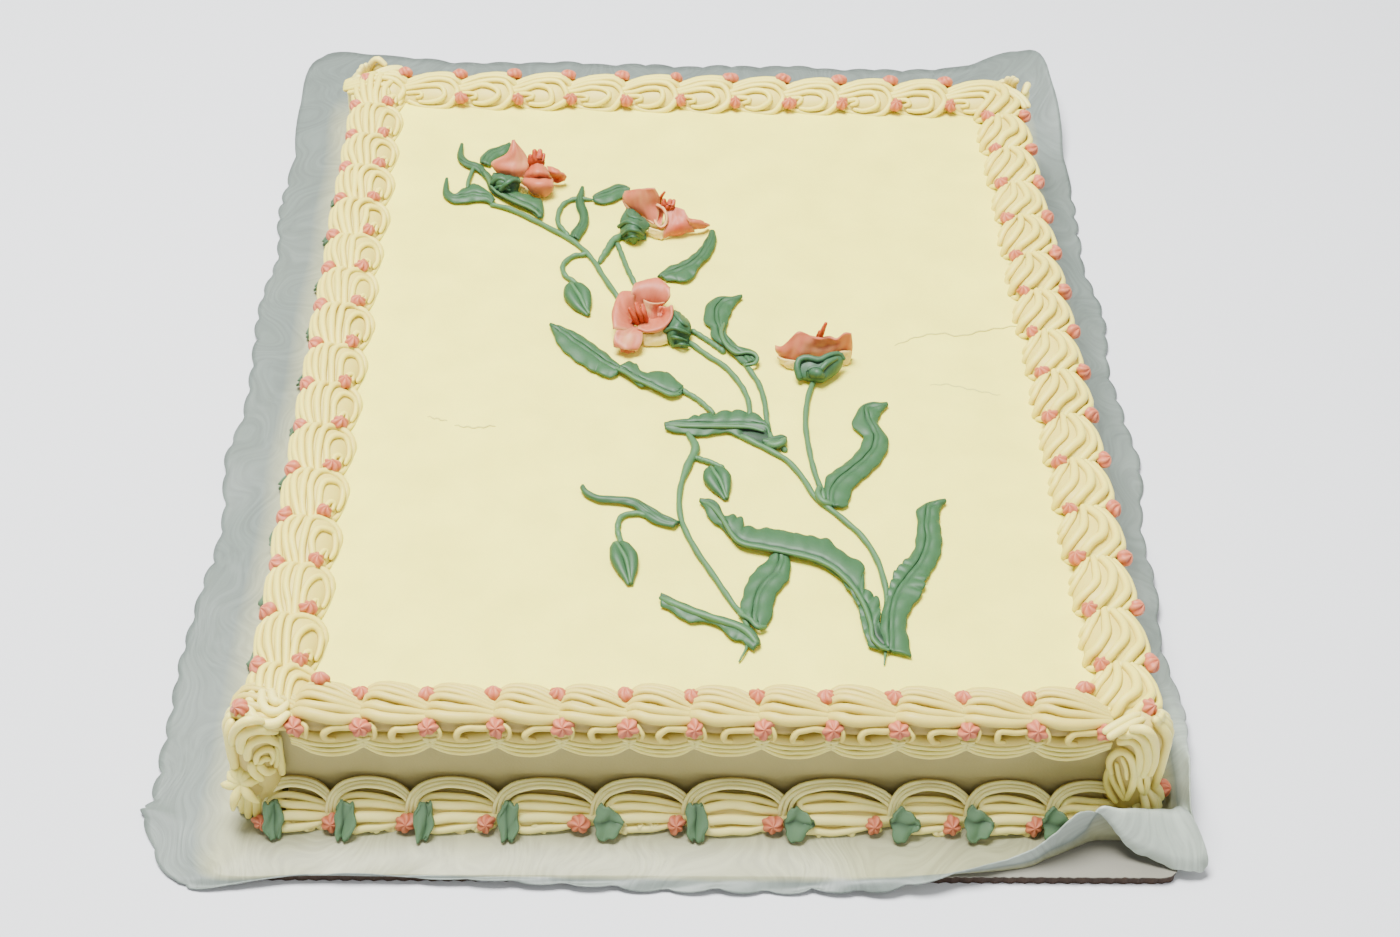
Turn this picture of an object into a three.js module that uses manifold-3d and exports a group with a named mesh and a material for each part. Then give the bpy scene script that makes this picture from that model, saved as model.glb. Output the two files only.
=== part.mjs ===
// A rectangular sheet cake on its board: cream icing, piped shell borders, a spray of piped flowers.
// Millimetres, +Z up. Origin: centre of the board's underside. +Y points away from the viewer.
import * as THREE from 'three';
import { mergeVertices } from 'three/addons/utils/BufferGeometryUtils.js';
import Module from 'manifold-3d';

const wasm = await Module();
wasm.setup();

// Board and paper
const BOARD_WIDTH = 349;
const BOARD_DEPTH = 476;
const BOARD_THICKNESS = 4;
const BOARD_CORNER_RADIUS = 6;
const PAPER_THICKNESS = 0.5;
const PAPER_LEFT = 201;
const PAPER_RIGHT = 196;
const PAPER_BACK = 306;
const PAPER_FRONT = 242;
const PAPER_EDGE_CLEARANCE = 0.4;
const PAPER_BACK_TIP = [190, 284, 26];
const PAPER_STEPS_ACROSS = 10;
const PAPER_STEPS_ALONG = 13;
const PAPER_EDGE_WAVE = 4;
const PAPER_SAG = 0.4;
// Round the front right corner: where the paper leaves the board, the crest of its fold, and its edge
const PAPER_FOLD = [
  { foot: [106, -231], crest: [109, -233.5, 9], lip: [112, -237, 6] },
  { foot: [138, -223.6], crest: [143, -223.6, 21], lip: [148, -228, 13] },
  { foot: [170, -222.8], crest: [171.5, -223.5, 22], lip: [182, -238, 11] },
  { foot: [174, -203], crest: [182, -206, 17], lip: [185, -208, 21] },
  { foot: [174, -166], crest: [182, -168, 12], lip: [186, -170, 16] },
];

// Cake body
const CAKE_WIDTH = 316;
const CAKE_DEPTH = 409;
const CAKE_HEIGHT = 45;
const CAKE_FLOOR = BOARD_THICKNESS + PAPER_THICKNESS;
const CAKE_TOP = CAKE_FLOOR + CAKE_HEIGHT;

// Gap that a turned piece keeps to what it lies against
const SEAT_GAP = 0.3;

// Shell border along the top edge
const TOP_SHELL_HEIGHT = 8.8;
const TOP_SHELL_OUTER = 9;
const SWAG_SHORT = 9;
const SWAG_LONG = 16.4;
const SWAG_BULGE = 4.6;

// Shell border round the foot
const FOOT_SHELL_HEIGHT = 10;
const FOOT_SHELL_REACH = 16;
const ARCH_LOW = 8;
const ARCH_RISE = 8.6;
const ARCH_BULGE = 3.8;
const FOOT_LEAD = 0.02;

// Tips of the small icing stars and leaves that sit on the borders: out from the cake's face, and up
const TOP_STAR_WIDE = 12;
const TOP_STAR_IN = [-10.5, 3.4];
const TOP_STAR_OUT = [7.6, 2.4];
const FOOT_STAR = [17, 4.6];
const FOOT_LEAF = [15.6, 9];

// Corner piping: a column up the cake's edge, spread at its foot, under a shell as wide as the top border
const CORNER_ARM = 5;
const CORNER_HEAD_ARM = 16.4;
const CORNER_TOP_ROOM = 17;
const CORNER_FOOT_ROOM = 5.8;
const CORNER_RADIUS = 11;
const CORNER_HEAD_DROP = 11;
const CORNER_FOOT_FLARE = 0.3;
const CORNER_CAP_HEIGHT = 8.8;

// Spray
const STEM_RADIUS = 1.5;
const STEM_SECTION = [[-1, 0], [-0.82, 0.95], [0, 1.5], [0.82, 0.95], [1, 0]];
const LEAF_THICKNESS = 1.6;
const LEAF_WAVE = 1.3;
const PETAL_THICKNESS = 1.5;
const CALYX_RISE = 0.72;

// The four sides in the order in which they are piped, each a quarter turn on from the last.
// The front's arches are of uneven lengths, so the places where they meet are given one by one.
const WIDE = CAKE_WIDTH / 2;
const DEEP = CAKE_DEPTH / 2;
const FRONT_ARCHES = [-163.6, -136, -106.6, -74.4, -38.6, -4.9, 31, 71, 99.5, 130, 163];
const SIDES = [
  { name: 'front', half: WIDE, away: DEEP, inner: 13.6, first: -148.3, pitch: 24.4, arches: FRONT_ARCHES },
  { name: 'right', half: DEEP, away: WIDE, inner: 16, first: -193.5, pitch: 27.3, arches: 12 },
  { name: 'back', half: WIDE, away: DEEP, inner: 15.5, first: -154.2, pitch: 26.8, arches: 10 },
  { name: 'left', half: DEEP, away: WIDE, inner: 16.4, first: -184.6, pitch: 26, arches: 12 },
];

// A shell starts at its round head and thins to its tail: place along it, and size.
// The stars sit in the dips between two shells. At the foot a leaf sits where a shell starts, and a
// star near the tail of the shell before it.
const TOP_SHELL_FORM = [
  { at: 0, size: 0.5, trim: 'star' },
  { at: 0.13, size: 0.86 },
  { at: 0.32, size: 1 },
  { at: 0.6, size: 0.9 },
  { at: 0.87, size: 0.62 },
];
const FOOT_SHELL_FORM = [
  { at: 0, size: 0.55 },
  { at: 0.12, size: 0.7, trim: 'leaf' },
  { at: 0.32, size: 1 },
  { at: 0.6, size: 0.92 },
  { at: 0.86, size: 0.62, trim: 'star' },
];

const cream = new THREE.MeshStandardMaterial({ color: 0xf1e9c4, roughness: 0.6 });
const creamTop = new THREE.MeshStandardMaterial({ color: 0xebe4bf, roughness: 0.7 });
const pink = new THREE.MeshStandardMaterial({ color: 0xd98472, roughness: 0.6 });
const green = new THREE.MeshStandardMaterial({ color: 0x6f9f86, roughness: 0.6 });
const boardWhite = new THREE.MeshStandardMaterial({ color: 0xc9c7b8, roughness: 0.8 });
const paperWhite = new THREE.MeshStandardMaterial({ color: 0xb9c6cc, roughness: 0.5 });

const cake = new THREE.Group();

function seededRandom(seed) {
  let state = seed;
  return () => {
    state = (state * 1664525 + 1013904223) % 4294967296;
    return state / 4294967296;
  };
}

function facingOut(geometry) {
  const position = geometry.attributes.position;
  const index = geometry.index.array;
  const a = new THREE.Vector3();
  const b = new THREE.Vector3();
  const c = new THREE.Vector3();
  let volume = 0;
  for (let i = 0; i < index.length; i += 3) {
    a.fromBufferAttribute(position, index[i]);
    b.fromBufferAttribute(position, index[i + 1]);
    c.fromBufferAttribute(position, index[i + 2]);
    volume += a.dot(b.cross(c));
  }
  if (volume < 0) {
    for (let i = 0; i < index.length; i += 3) {
      const first = index[i];
      index[i] = index[i + 1];
      index[i + 1] = first;
    }
  }
  return geometry;
}

function bodyOf(points, faces) {
  const geometry = new THREE.BufferGeometry();
  geometry.setAttribute('position', new THREE.Float32BufferAttribute(points.flatMap((p) => p.toArray()), 3));
  geometry.setIndex(faces.flat());
  return facingOut(geometry);
}

// Triangles that close an outline, wound the way the outline runs
function capFaces(outline) {
  const sense = Math.sign(THREE.ShapeUtils.area(outline));
  return THREE.ShapeUtils.triangulateShape(outline, []).map((face) => {
    const turn = THREE.ShapeUtils.area(face.map((k) => outline[k]));
    return Math.sign(turn) === sense ? face : [face[0], face[2], face[1]];
  });
}

// A closed skin through rings of equal count, with both ends capped
function loft(rings, flatten) {
  const count = rings[0].length;
  const faces = [];
  for (let ring = 0; ring + 1 < rings.length; ring += 1) {
    for (let i = 0; i < count; i += 1) {
      const near = ring * count + i;
      const next = ring * count + ((i + 1) % count);
      faces.push([near, next, next + count], [near, next + count, near + count]);
    }
  }
  const last = (rings.length - 1) * count;
  capFaces(rings[0].map(flatten)).forEach(([p, q, r]) => faces.push([p, r, q]));
  const end = rings[rings.length - 1].map(flatten);
  capFaces(end).forEach(([p, q, r]) => faces.push([last + p, last + q, last + r]));
  return bodyOf(rings.flat(), faces);
}

function solidOf(geometry) {
  const bare = geometry.clone();
  bare.deleteAttribute('normal');
  bare.deleteAttribute('uv');
  const merged = mergeVertices(bare, 1e-4);
  return new wasm.Manifold(new wasm.Mesh({
    numProp: 3,
    vertProperties: new Float32Array(merged.attributes.position.array),
    triVerts: new Uint32Array(merged.index.array),
  }));
}

function geometryOf(solid) {
  const { vertProperties, triVerts } = solid.getMesh();
  const geometry = new THREE.BufferGeometry();
  geometry.setAttribute('position', new THREE.BufferAttribute(vertProperties, 3));
  geometry.setIndex(new THREE.BufferAttribute(triVerts, 1));
  return geometry;
}

function fused(geometries) {
  return geometryOf(geometries.map(solidOf).reduce((whole, piece) => whole.add(piece)));
}

function addPiece(group, name, geometry, material) {
  const mesh = new THREE.Mesh(geometry, material);
  mesh.name = name;
  group.add(mesh);
}

function addBoard() {
  const w = BOARD_WIDTH / 2;
  const d = BOARD_DEPTH / 2;
  const r = BOARD_CORNER_RADIUS;
  const outline = new THREE.Shape();
  outline.moveTo(-w + r, -d);
  outline.lineTo(w - r, -d);
  outline.absarc(w - r, -d + r, r, -Math.PI / 2, 0);
  outline.lineTo(w, d - r);
  outline.absarc(w - r, d - r, r, 0, Math.PI / 2);
  outline.lineTo(-w + r, d);
  outline.absarc(-w + r, d - r, r, Math.PI / 2, Math.PI);
  outline.lineTo(-w, -d + r);
  outline.absarc(-w + r, -d + r, r, Math.PI, Math.PI * 1.5);
  const geometry = new THREE.ExtrudeGeometry(outline, {
    depth: BOARD_THICKNESS, bevelEnabled: false, curveSegments: 4,
  });
  const merged = new THREE.BufferGeometry();
  merged.setAttribute('position', geometry.attributes.position);
  addPiece(cake, 'cake_board', mergeVertices(merged, 1e-4), boardWhite);
}

// The sheet of paper: flat on the board, then falling to the table past the board's edges.
// One corner stands up at the back right, and the front right corner is lifted into a fold.
function addPaper() {
  const w = BOARD_WIDTH / 2;
  const d = BOARD_DEPTH / 2;
  const across = PAPER_STEPS_ACROSS;
  const along = PAPER_STEPS_ALONG;
  const rim = [];
  const step = (from, to, count, place) => {
    for (let i = 0; i < count; i += 1) rim.push(place(from + ((to - from) * i) / count));
  };
  step(-w, w, across, (x) => ({ x, y: -d }));
  step(-d, d, along, (y) => ({ x: w, y }));
  step(w, -w, across, (x) => ({ x, y: d }));
  step(d, -d, along, (y) => ({ x: -w, y }));

  const flat = [];
  const middle = [];
  const edge = [];
  rim.forEach(({ x, y }, k) => {
    const wave = 0.5 + 0.5 * Math.sin(k * 2.4);
    const fold = PAPER_FOLD[k - across + 2];
    const lifted = k >= across - 3 && k <= across + 4;
    let outX = x * (PAPER_LEFT + PAPER_RIGHT) / BOARD_WIDTH / 1.08;
    if (x === w) outX = PAPER_RIGHT + PAPER_EDGE_WAVE * (wave - 0.5);
    if (x === -w) outX = -PAPER_LEFT - PAPER_EDGE_WAVE * (wave - 0.5);
    let outY = y;
    if (y === d) outY = PAPER_BACK;
    if (y === -d) outY = -PAPER_FRONT;
    let low = PAPER_EDGE_CLEARANCE + wave * PAPER_EDGE_WAVE * PAPER_SAG;
    if (y === -d) low = BOARD_THICKNESS * (0.85 - 0.6 * Math.max(0, (-x / w - 0.7) / 0.3));
    if (lifted) low = BOARD_THICKNESS + 1;
    let inner = new THREE.Vector3(x, y, BOARD_THICKNESS);
    let outer = new THREE.Vector3(outX, outY, low);
    if (y === d && x === w) outer = new THREE.Vector3(...PAPER_BACK_TIP);
    let between = inner.clone().lerp(outer, 0.5);
    between.z += lifted ? 1 : -PAPER_SAG;
    if (fold) {
      inner = new THREE.Vector3(...fold.foot, BOARD_THICKNESS);
      between = new THREE.Vector3(...fold.crest);
      outer = new THREE.Vector3(...fold.lip);
    }
    flat.push(inner);
    middle.push(between);
    edge.push(outer);
  });

  const count = rim.length;
  const lower = [...flat, ...middle, ...edge];
  const sheet = capFaces(flat.map((p) => new THREE.Vector2(p.x, p.y)));
  for (let ring = 0; ring < 2; ring += 1) {
    for (let i = 0; i < count; i += 1) {
      const near = ring * count + i;
      const next = ring * count + ((i + 1) % count);
      sheet.push([near, next + count, next], [near, near + count, next + count]);
    }
  }
  const skin = new THREE.BufferGeometry();
  skin.setAttribute('position', new THREE.Float32BufferAttribute(lower.flatMap((p) => p.toArray()), 3));
  skin.setIndex(sheet.flat());
  skin.computeVertexNormals();
  const normal = new THREE.Vector3();
  const upper = lower.map((p, i) => {
    if (i < count) return p.clone().setZ(p.z + PAPER_THICKNESS);
    normal.fromBufferAttribute(skin.attributes.normal, i);
    return p.clone().addScaledVector(normal, PAPER_THICKNESS);
  });
  const faces = [];
  const lift = lower.length;
  sheet.forEach(([p, q, r]) => faces.push([p, r, q], [p + lift, q + lift, r + lift]));
  for (let i = 0; i < count; i += 1) {
    const near = 2 * count + i;
    const next = 2 * count + ((i + 1) % count);
    faces.push([near, next, next + lift], [near, next + lift, near + lift]);
  }
  addPiece(cake, 'paper_liner', bodyOf([...lower, ...upper], faces), paperWhite);
}

function addCakeBody() {
  const geometry = new THREE.BoxGeometry(CAKE_WIDTH, CAKE_DEPTH, CAKE_HEIGHT);
  geometry.deleteAttribute('normal');
  geometry.deleteAttribute('uv');
  geometry.translate(0, 0, CAKE_FLOOR + CAKE_HEIGHT / 2);
  addPiece(cake, 'cake_body', mergeVertices(geometry, 1e-4), creamTop);
}

function evenPlaces(start, pitch, limit) {
  const first = Math.floor((-limit - start) / pitch);
  const last = Math.ceil((limit - start) / pitch) + 1;
  return Array.from({ length: last - first + 1 }, (_, i) => start + (first + i) * pitch);
}

// Places along a side where rings of a piped run lie, with the shell's size there
function runStations(places, limit, form, random) {
  const stations = [];
  for (let unit = 0; unit + 1 < places.length; unit += 1) {
    const pitch = places[unit + 1] - places[unit];
    const size = 0.93 + 0.14 * random();
    form.forEach((ring) => {
      const x = places[unit] + ring.at * pitch;
      stations.push({ x, phase: ring.at, size: ring.size * size, trim: ring.trim });
    });
  }
  const inside = stations.filter((s) => Math.abs(s.x) < limit - 1.5);
  const head = { ...inside[0], x: -limit, trim: undefined };
  const tail = { ...inside[inside.length - 1], x: limit, trim: undefined };
  return [head, ...inside, tail];
}

function sectionTop({ phase, size, trim }, reach) {
  const drop = SWAG_SHORT + (SWAG_LONG - SWAG_SHORT) * Math.sin(Math.PI * phase);
  const rise = TOP_SHELL_HEIGHT * size;
  const star = trim === 'star';
  const inner = star ? TOP_STAR_WIDE : reach * (0.45 + 0.55 * size);
  const outer = TOP_SHELL_OUTER * (0.3 + 0.7 * size);
  return [
    [-inner, 0],
    star ? TOP_STAR_IN : [-inner * 0.86, rise * 0.58],
    [-inner * 0.32, rise],
    [outer * 0.42, rise * 0.84],
    star ? TOP_STAR_OUT : [outer, rise * 0.12],
    [outer * 0.55, -5.5],
    [SWAG_BULGE, 3 - drop],
    [SEAT_GAP, -drop],
    [SEAT_GAP, 0],
  ];
}

function sectionFoot({ phase, size, trim }) {
  const arch = ARCH_LOW + ARCH_RISE * Math.sin(Math.PI * phase);
  const rise = FOOT_SHELL_HEIGHT * (0.35 + 0.65 * size);
  const reach = FOOT_SHELL_REACH * (0.6 + 0.4 * size);
  return [
    [SEAT_GAP, arch],
    [ARCH_BULGE, arch - 1.6],
    [ARCH_BULGE + 0.6, arch * 0.5 + rise * 0.36],
    [reach * 0.56, rise * 0.95],
    trim === 'leaf' ? FOOT_LEAF : [reach * 0.87, rise * 0.62],
    trim === 'star' ? FOOT_STAR : [reach, rise * 0.2],
    [reach - 1.5, 0],
    [SEAT_GAP, 0],
  ];
}

// A run of piping along one side. Its own frame has x along the run and -y outward.
function pipedRun(side, stations, section, level) {
  const rings = stations.map((station) => section(station)
    .map(([out, up]) => new THREE.Vector3(station.x, -side.away - out, level + up)));
  return loft(rings, (p) => new THREE.Vector2(p.y, p.z));
}

function addBorders() {
  SIDES.forEach((side, quarter) => {
    const group = new THREE.Group();
    group.rotation.z = (quarter * Math.PI) / 2;
    cake.add(group);
    const random = seededRandom(quarter + 11);
    const limit = side.half - CORNER_TOP_ROOM;
    const shells = evenPlaces(side.first, side.pitch, limit);
    const top = runStations(shells, limit, TOP_SHELL_FORM, random);
    const section = (station) => sectionTop(station, side.inner);
    addPiece(group, `top_border_${side.name}`, pipedRun(side, top, section, CAKE_TOP), cream);

    const footLimit = side.half - CORNER_FOOT_ROOM;
    const pitch = (2 * side.half) / side.arches;
    const arches = Array.isArray(side.arches) ? side.arches
      : evenPlaces(-side.half + pitch * FOOT_LEAD, pitch, footLimit);
    const foot = runStations(arches, footLimit, FOOT_SHELL_FORM, random);
    addPiece(group, `bottom_border_${side.name}`, pipedRun(side, foot, sectionFoot, CAKE_FLOOR), cream);
  });
}

// Piping up a vertical edge of the cake: lumps one above the other, and a shell over the corner.
// Its own frame has the cake's edge at x = y = 0 and the cake beyond it, toward +x and +y.
function cornerPiping(random) {
  const levels = 8;
  const rings = [];
  for (let k = 0; k <= levels; k += 1) {
    const share = k / levels;
    const z = CAKE_FLOOR + (CAKE_HEIGHT + 2) * share;
    const lump = 0.86 + 0.12 * Math.cos(share * Math.PI * 5) + 0.04 * random();
    const r = CORNER_RADIUS * lump * (1 + CORNER_FOOT_FLARE * Math.max(0, 1 - 2.2 * share));
    const head = Math.max(0, Math.min(1, (z - CAKE_TOP + CORNER_HEAD_DROP) / CORNER_HEAD_DROP * 1.6));
    const arm = CORNER_ARM + (CORNER_HEAD_ARM - CORNER_ARM) * head;
    const g = SEAT_GAP;
    rings.push([
      [arm, -g], [arm * 0.9, -r * 0.62], [arm * 0.3, -r], [-r * 0.74, -r * 0.74],
      [-r, arm * 0.3], [-r * 0.62, arm * 0.9], [-g, arm], [-g, -g],
    ].map(([x, y]) => new THREE.Vector3(x, y, z)));
  }
  const post = loft(rings, (p) => new THREE.Vector2(p.x, p.y));

  const arm = CORNER_HEAD_ARM;
  const middle = arm * 0.2;
  const capOutline = [[arm, -7], [arm, 9], [9, arm], [-7, arm], [-9.5, middle], [-8, -8], [middle, -9.5]];
  const capLevels = [[0, 1], [0.5, 0.95], [0.85, 0.66], [1, 0.3]];
  const capRings = capLevels.map(([rise, spread]) => capOutline.map(([x, y]) => new THREE.Vector3(
    middle + (x - middle) * spread, middle + (y - middle) * spread, CAKE_TOP + CORNER_CAP_HEIGHT * rise)));
  const cap = loft(capRings, (p) => new THREE.Vector2(p.x, p.y));
  return fused([post, cap]);
}

function addCorners() {
  const names = ['front_left', 'front_right', 'back_right', 'back_left'];
  const random = seededRandom(5);
  names.forEach((name, quarter) => {
    const x = name.endsWith('left') ? -CAKE_WIDTH / 2 : CAKE_WIDTH / 2;
    const y = name.startsWith('front') ? -CAKE_DEPTH / 2 : CAKE_DEPTH / 2;
    const group = new THREE.Group();
    group.position.set(x, y, 0);
    group.rotation.z = (quarter * Math.PI) / 2;
    cake.add(group);
    addPiece(group, `corner_${name}`, cornerPiping(random), cream);
  });
}

function smoothPath(points) {
  const places = points.map(([x, y]) => new THREE.Vector3(x, y, CAKE_TOP));
  return new THREE.CatmullRomCurve3(places, false, 'centripetal');
}

function sideways(tangent) {
  return new THREE.Vector3(-tangent.y, tangent.x, 0).normalize();
}

// A piped string of icing lying on the cake, flat below and round above
function stemSolid(points, radius, steps) {
  const path = smoothPath(points);
  const rings = [];
  for (let k = 0; k <= steps; k += 1) {
    const t = k / steps;
    const place = path.getPointAt(t);
    const side = sideways(path.getTangentAt(t));
    const r = radius * (1 + 0.12 * Math.sin(k * 1.9));
    rings.push(STEM_SECTION.map(([a, b]) => new THREE.Vector3(
      place.x + side.x * a * r, place.y + side.y * a * r, CAKE_TOP + b * r)));
  }
  const half = rings[0].length;
  const square = Array.from({ length: half }, (_, i) => new THREE.Vector2(
    Math.cos((Math.PI * i) / (half - 1)), Math.sin((Math.PI * i) / (half - 1))));
  let turn = 0;
  return loft(rings, () => square[(turn++) % half]);
}

// A thin wavy leaf: its midrib lies on the cake and its edges rise and fall.
// Each station holds x, y and the leaf's half width there.
function leafSolid(stations, steps) {
  const path = smoothPath(stations);
  const widths = stations.map((s) => s[2]);
  const lengths = path.getLengths(200);
  const total = lengths[lengths.length - 1];
  const stationAt = stations.map((_, i) => lengths[Math.round((200 * i) / (stations.length - 1))] / total);
  const widthAt = (t) => {
    let i = 0;
    while (i < stationAt.length - 2 && t > stationAt[i + 1]) i += 1;
    const share = (t - stationAt[i]) / (stationAt[i + 1] - stationAt[i]);
    return THREE.MathUtils.lerp(widths[i], widths[i + 1], THREE.MathUtils.smoothstep(share, 0, 1));
  };
  const lower = [];
  for (let k = 0; k <= steps; k += 1) {
    const t = k / steps;
    const place = path.getPointAt(t);
    const side = sideways(path.getTangentAt(t));
    const width = widthAt(t);
    [-1, 0, 1].forEach((across) => {
      const ripple = 0.5 + 0.5 * Math.sin(k * 2.1 + across * 1.3);
      const lift = across === 0 ? 0 : LEAF_WAVE * ripple * Math.min(1, width / 4);
      lower.push(new THREE.Vector3(place.x + side.x * across * width, place.y + side.y * across * width,
        CAKE_TOP + lift));
    });
  }
  const thickness = (i) => (i % 3 === 1 ? LEAF_THICKNESS : LEAF_THICKNESS * 0.7);
  const upper = lower.map((p, i) => p.clone().setZ(p.z + thickness(i)));
  const lift = lower.length;
  const faces = [];
  for (let k = 0; k < steps; k += 1) {
    for (let i = 0; i < 2; i += 1) {
      const near = k * 3 + i;
      const quads = [[near, near + 1, near + 4], [near, near + 4, near + 3]];
      quads.forEach(([p, q, r]) => faces.push([p, q, r], [p + lift, r + lift, q + lift]));
    }
  }
  const loop = [];
  for (let k = 0; k <= steps; k += 1) loop.push(k * 3);
  loop.push(steps * 3 + 1);
  for (let k = steps; k >= 0; k -= 1) loop.push(k * 3 + 2);
  loop.push(1);
  loop.forEach((near, i) => {
    const next = loop[(i + 1) % loop.length];
    faces.push([near, next, next + lift], [near, next + lift, near + lift]);
  });
  return bodyOf([...lower, ...upper], faces);
}

// A ruffled cup of icing lying on its side: petals open from the base toward the mouth
function flowerSolid({ base, mouth, length, radius, frill, seed }) {
  const around = 12;
  const random = seededRandom(seed);
  const axis = new THREE.Vector3(...mouth).normalize();
  const right = new THREE.Vector3(0, 0, 1).cross(axis).normalize();
  const up = axis.clone().cross(right).normalize();
  const ragged = Array.from({ length: around }, () => random());
  const form = [[0, 0.26], [0.34, 0.62], [0.72, 0.88], [1, 1]];
  const origin = new THREE.Vector3(base[0], base[1], CAKE_TOP + base[2]);
  const skin = (inset) => form.map(([go, spread], level) => Array.from({ length: around }, (_, i) => {
    const angle = (2 * Math.PI * i) / around;
    const ruffle = frill * spread * spread * (i % 2 === 0 ? 1 : -1) * (0.6 + 0.4 * ragged[i]);
    const r = Math.max(0.8, radius * spread + ruffle - inset);
    const tip = level === 3 ? frill * (ragged[i] - 0.5) * 1.6 : 0;
    const forward = length * go + tip + (level === 0 ? inset : 0);
    const place = origin.clone().addScaledVector(axis, forward)
      .addScaledVector(right, r * Math.cos(angle)).addScaledVector(up, r * Math.sin(angle));
    place.z = Math.max(place.z, CAKE_TOP + (inset > 0 ? PETAL_THICKNESS : 0));
    return place;
  }));
  const outside = skin(0);
  const inside = skin(PETAL_THICKNESS);
  const circle = outside[0].map((_, i) => new THREE.Vector2(
    Math.cos((2 * Math.PI * i) / around), Math.sin((2 * Math.PI * i) / around)));
  let turn = 0;
  return loft([...outside, ...inside.reverse()], () => circle[(turn++) % around]);
}

// A lump of small overlapping sepals at the foot of a flower
function calyxSolid({ place, size, seed }) {
  const random = seededRandom(seed);
  const geometry = new THREE.SphereGeometry(1, 8, 5);
  geometry.deleteAttribute('normal');
  geometry.deleteAttribute('uv');
  const merged = mergeVertices(geometry, 1e-4);
  const position = merged.attributes.position;
  for (let i = 0; i < position.count; i += 1) {
    const lump = 0.88 + 0.24 * random();
    const x = place[0] + position.getX(i) * size[0] * lump;
    const y = place[1] + position.getY(i) * size[1] * lump;
    const z = CAKE_TOP + size[2] * (CALYX_RISE + position.getZ(i) * lump);
    position.setXYZ(i, x, y, Math.max(CAKE_TOP, z));
  }
  return facingOut(merged);
}

const FLOWERS = [
  { base: [-84, 129, 6], mouth: [0.8, 0.35, 0.55], length: 15, radius: 13, frill: 1.7, seed: 21 },
  { base: [-22, 93, 6], mouth: [0.75, 0.5, 0.5], length: 15, radius: 13, frill: 1.6, seed: 22 },
  { base: [-15, 22, 6], mouth: [-0.8, -0.1, 0.6], length: 12, radius: 15, frill: 1.8, seed: 23 },
  { base: [51, 0, 5], mouth: [-0.05, 0.8, 0.5], length: 10, radius: 14, frill: 1.7, seed: 24 },
];

const CALYXES = [
  { place: [-92, 124], size: [6, 5, 4], seed: 31 },
  { place: [-32, 88], size: [6, 6, 4.4], seed: 32 },
  { place: [-6, 17], size: [5, 7, 4], seed: 33 },
  { place: [51, -8.5], size: [8, 4.6, 4.4], seed: 34 },
];

const STEMS = {
  stem_flower_1: [[-84, 103.5], [-75, 97], [-65, 89], [-54, 79], [-46, 67], [-41, 55], [-37, 46]],
  stem_flower_2: [[-36, 80], [-38.5, 75], [-41.5, 68]],
  stem_branch_2: [[-34, 76], [-32, 68], [-30, 60], [-27.5, 52]],
  stem_bud_1: [[-50.5, 70], [-55, 68.5], [-59, 62], [-58, 55], [-54.5, 51]],
  stem_loop_leaf: [[-59.5, 88], [-61.8, 95], [-61, 103], [-56, 112], [-52.5, 121]],
  stem_flower_3_upper: [[0.5, 15], [5, 10.5], [9.5, 5.5]],
  stem_flower_3_main: [[21.5, -7], [26, -18], [28, -30], [29, -44]],
  stem_flower_3_lower: [[-2, 8], [5, 0], [12, -7], [18, -18], [21, -28], [21.5, -36]],
  stem_leaf_left: [[-5, -24], [0, -28.5], [4.5, -34.5]],
  stem_main: [[19.5, -52.6], [28, -59], [36, -66], [42, -77], [46, -87], [55, -98], [63, -109], [68, -122],
    [70, -136]],
  stem_flower_4: [[50, -14], [46.5, -26], [44.5, -42], [45, -58], [46.5, -72], [49, -85]],
  stem_left_plant: [[-4, -51], [-1.5, -59], [-5, -70], [-8.2, -84], [-8, -100], [-3, -116], [4, -131],
    [11, -146]],
  stem_bud_2: [[0.5, -65.5], [4, -67], [7, -69]],
  stem_bud_3: [[-21, -98.8], [-26, -97.5], [-31.5, -99.5], [-33, -106], [-32, -112]],
};

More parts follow.
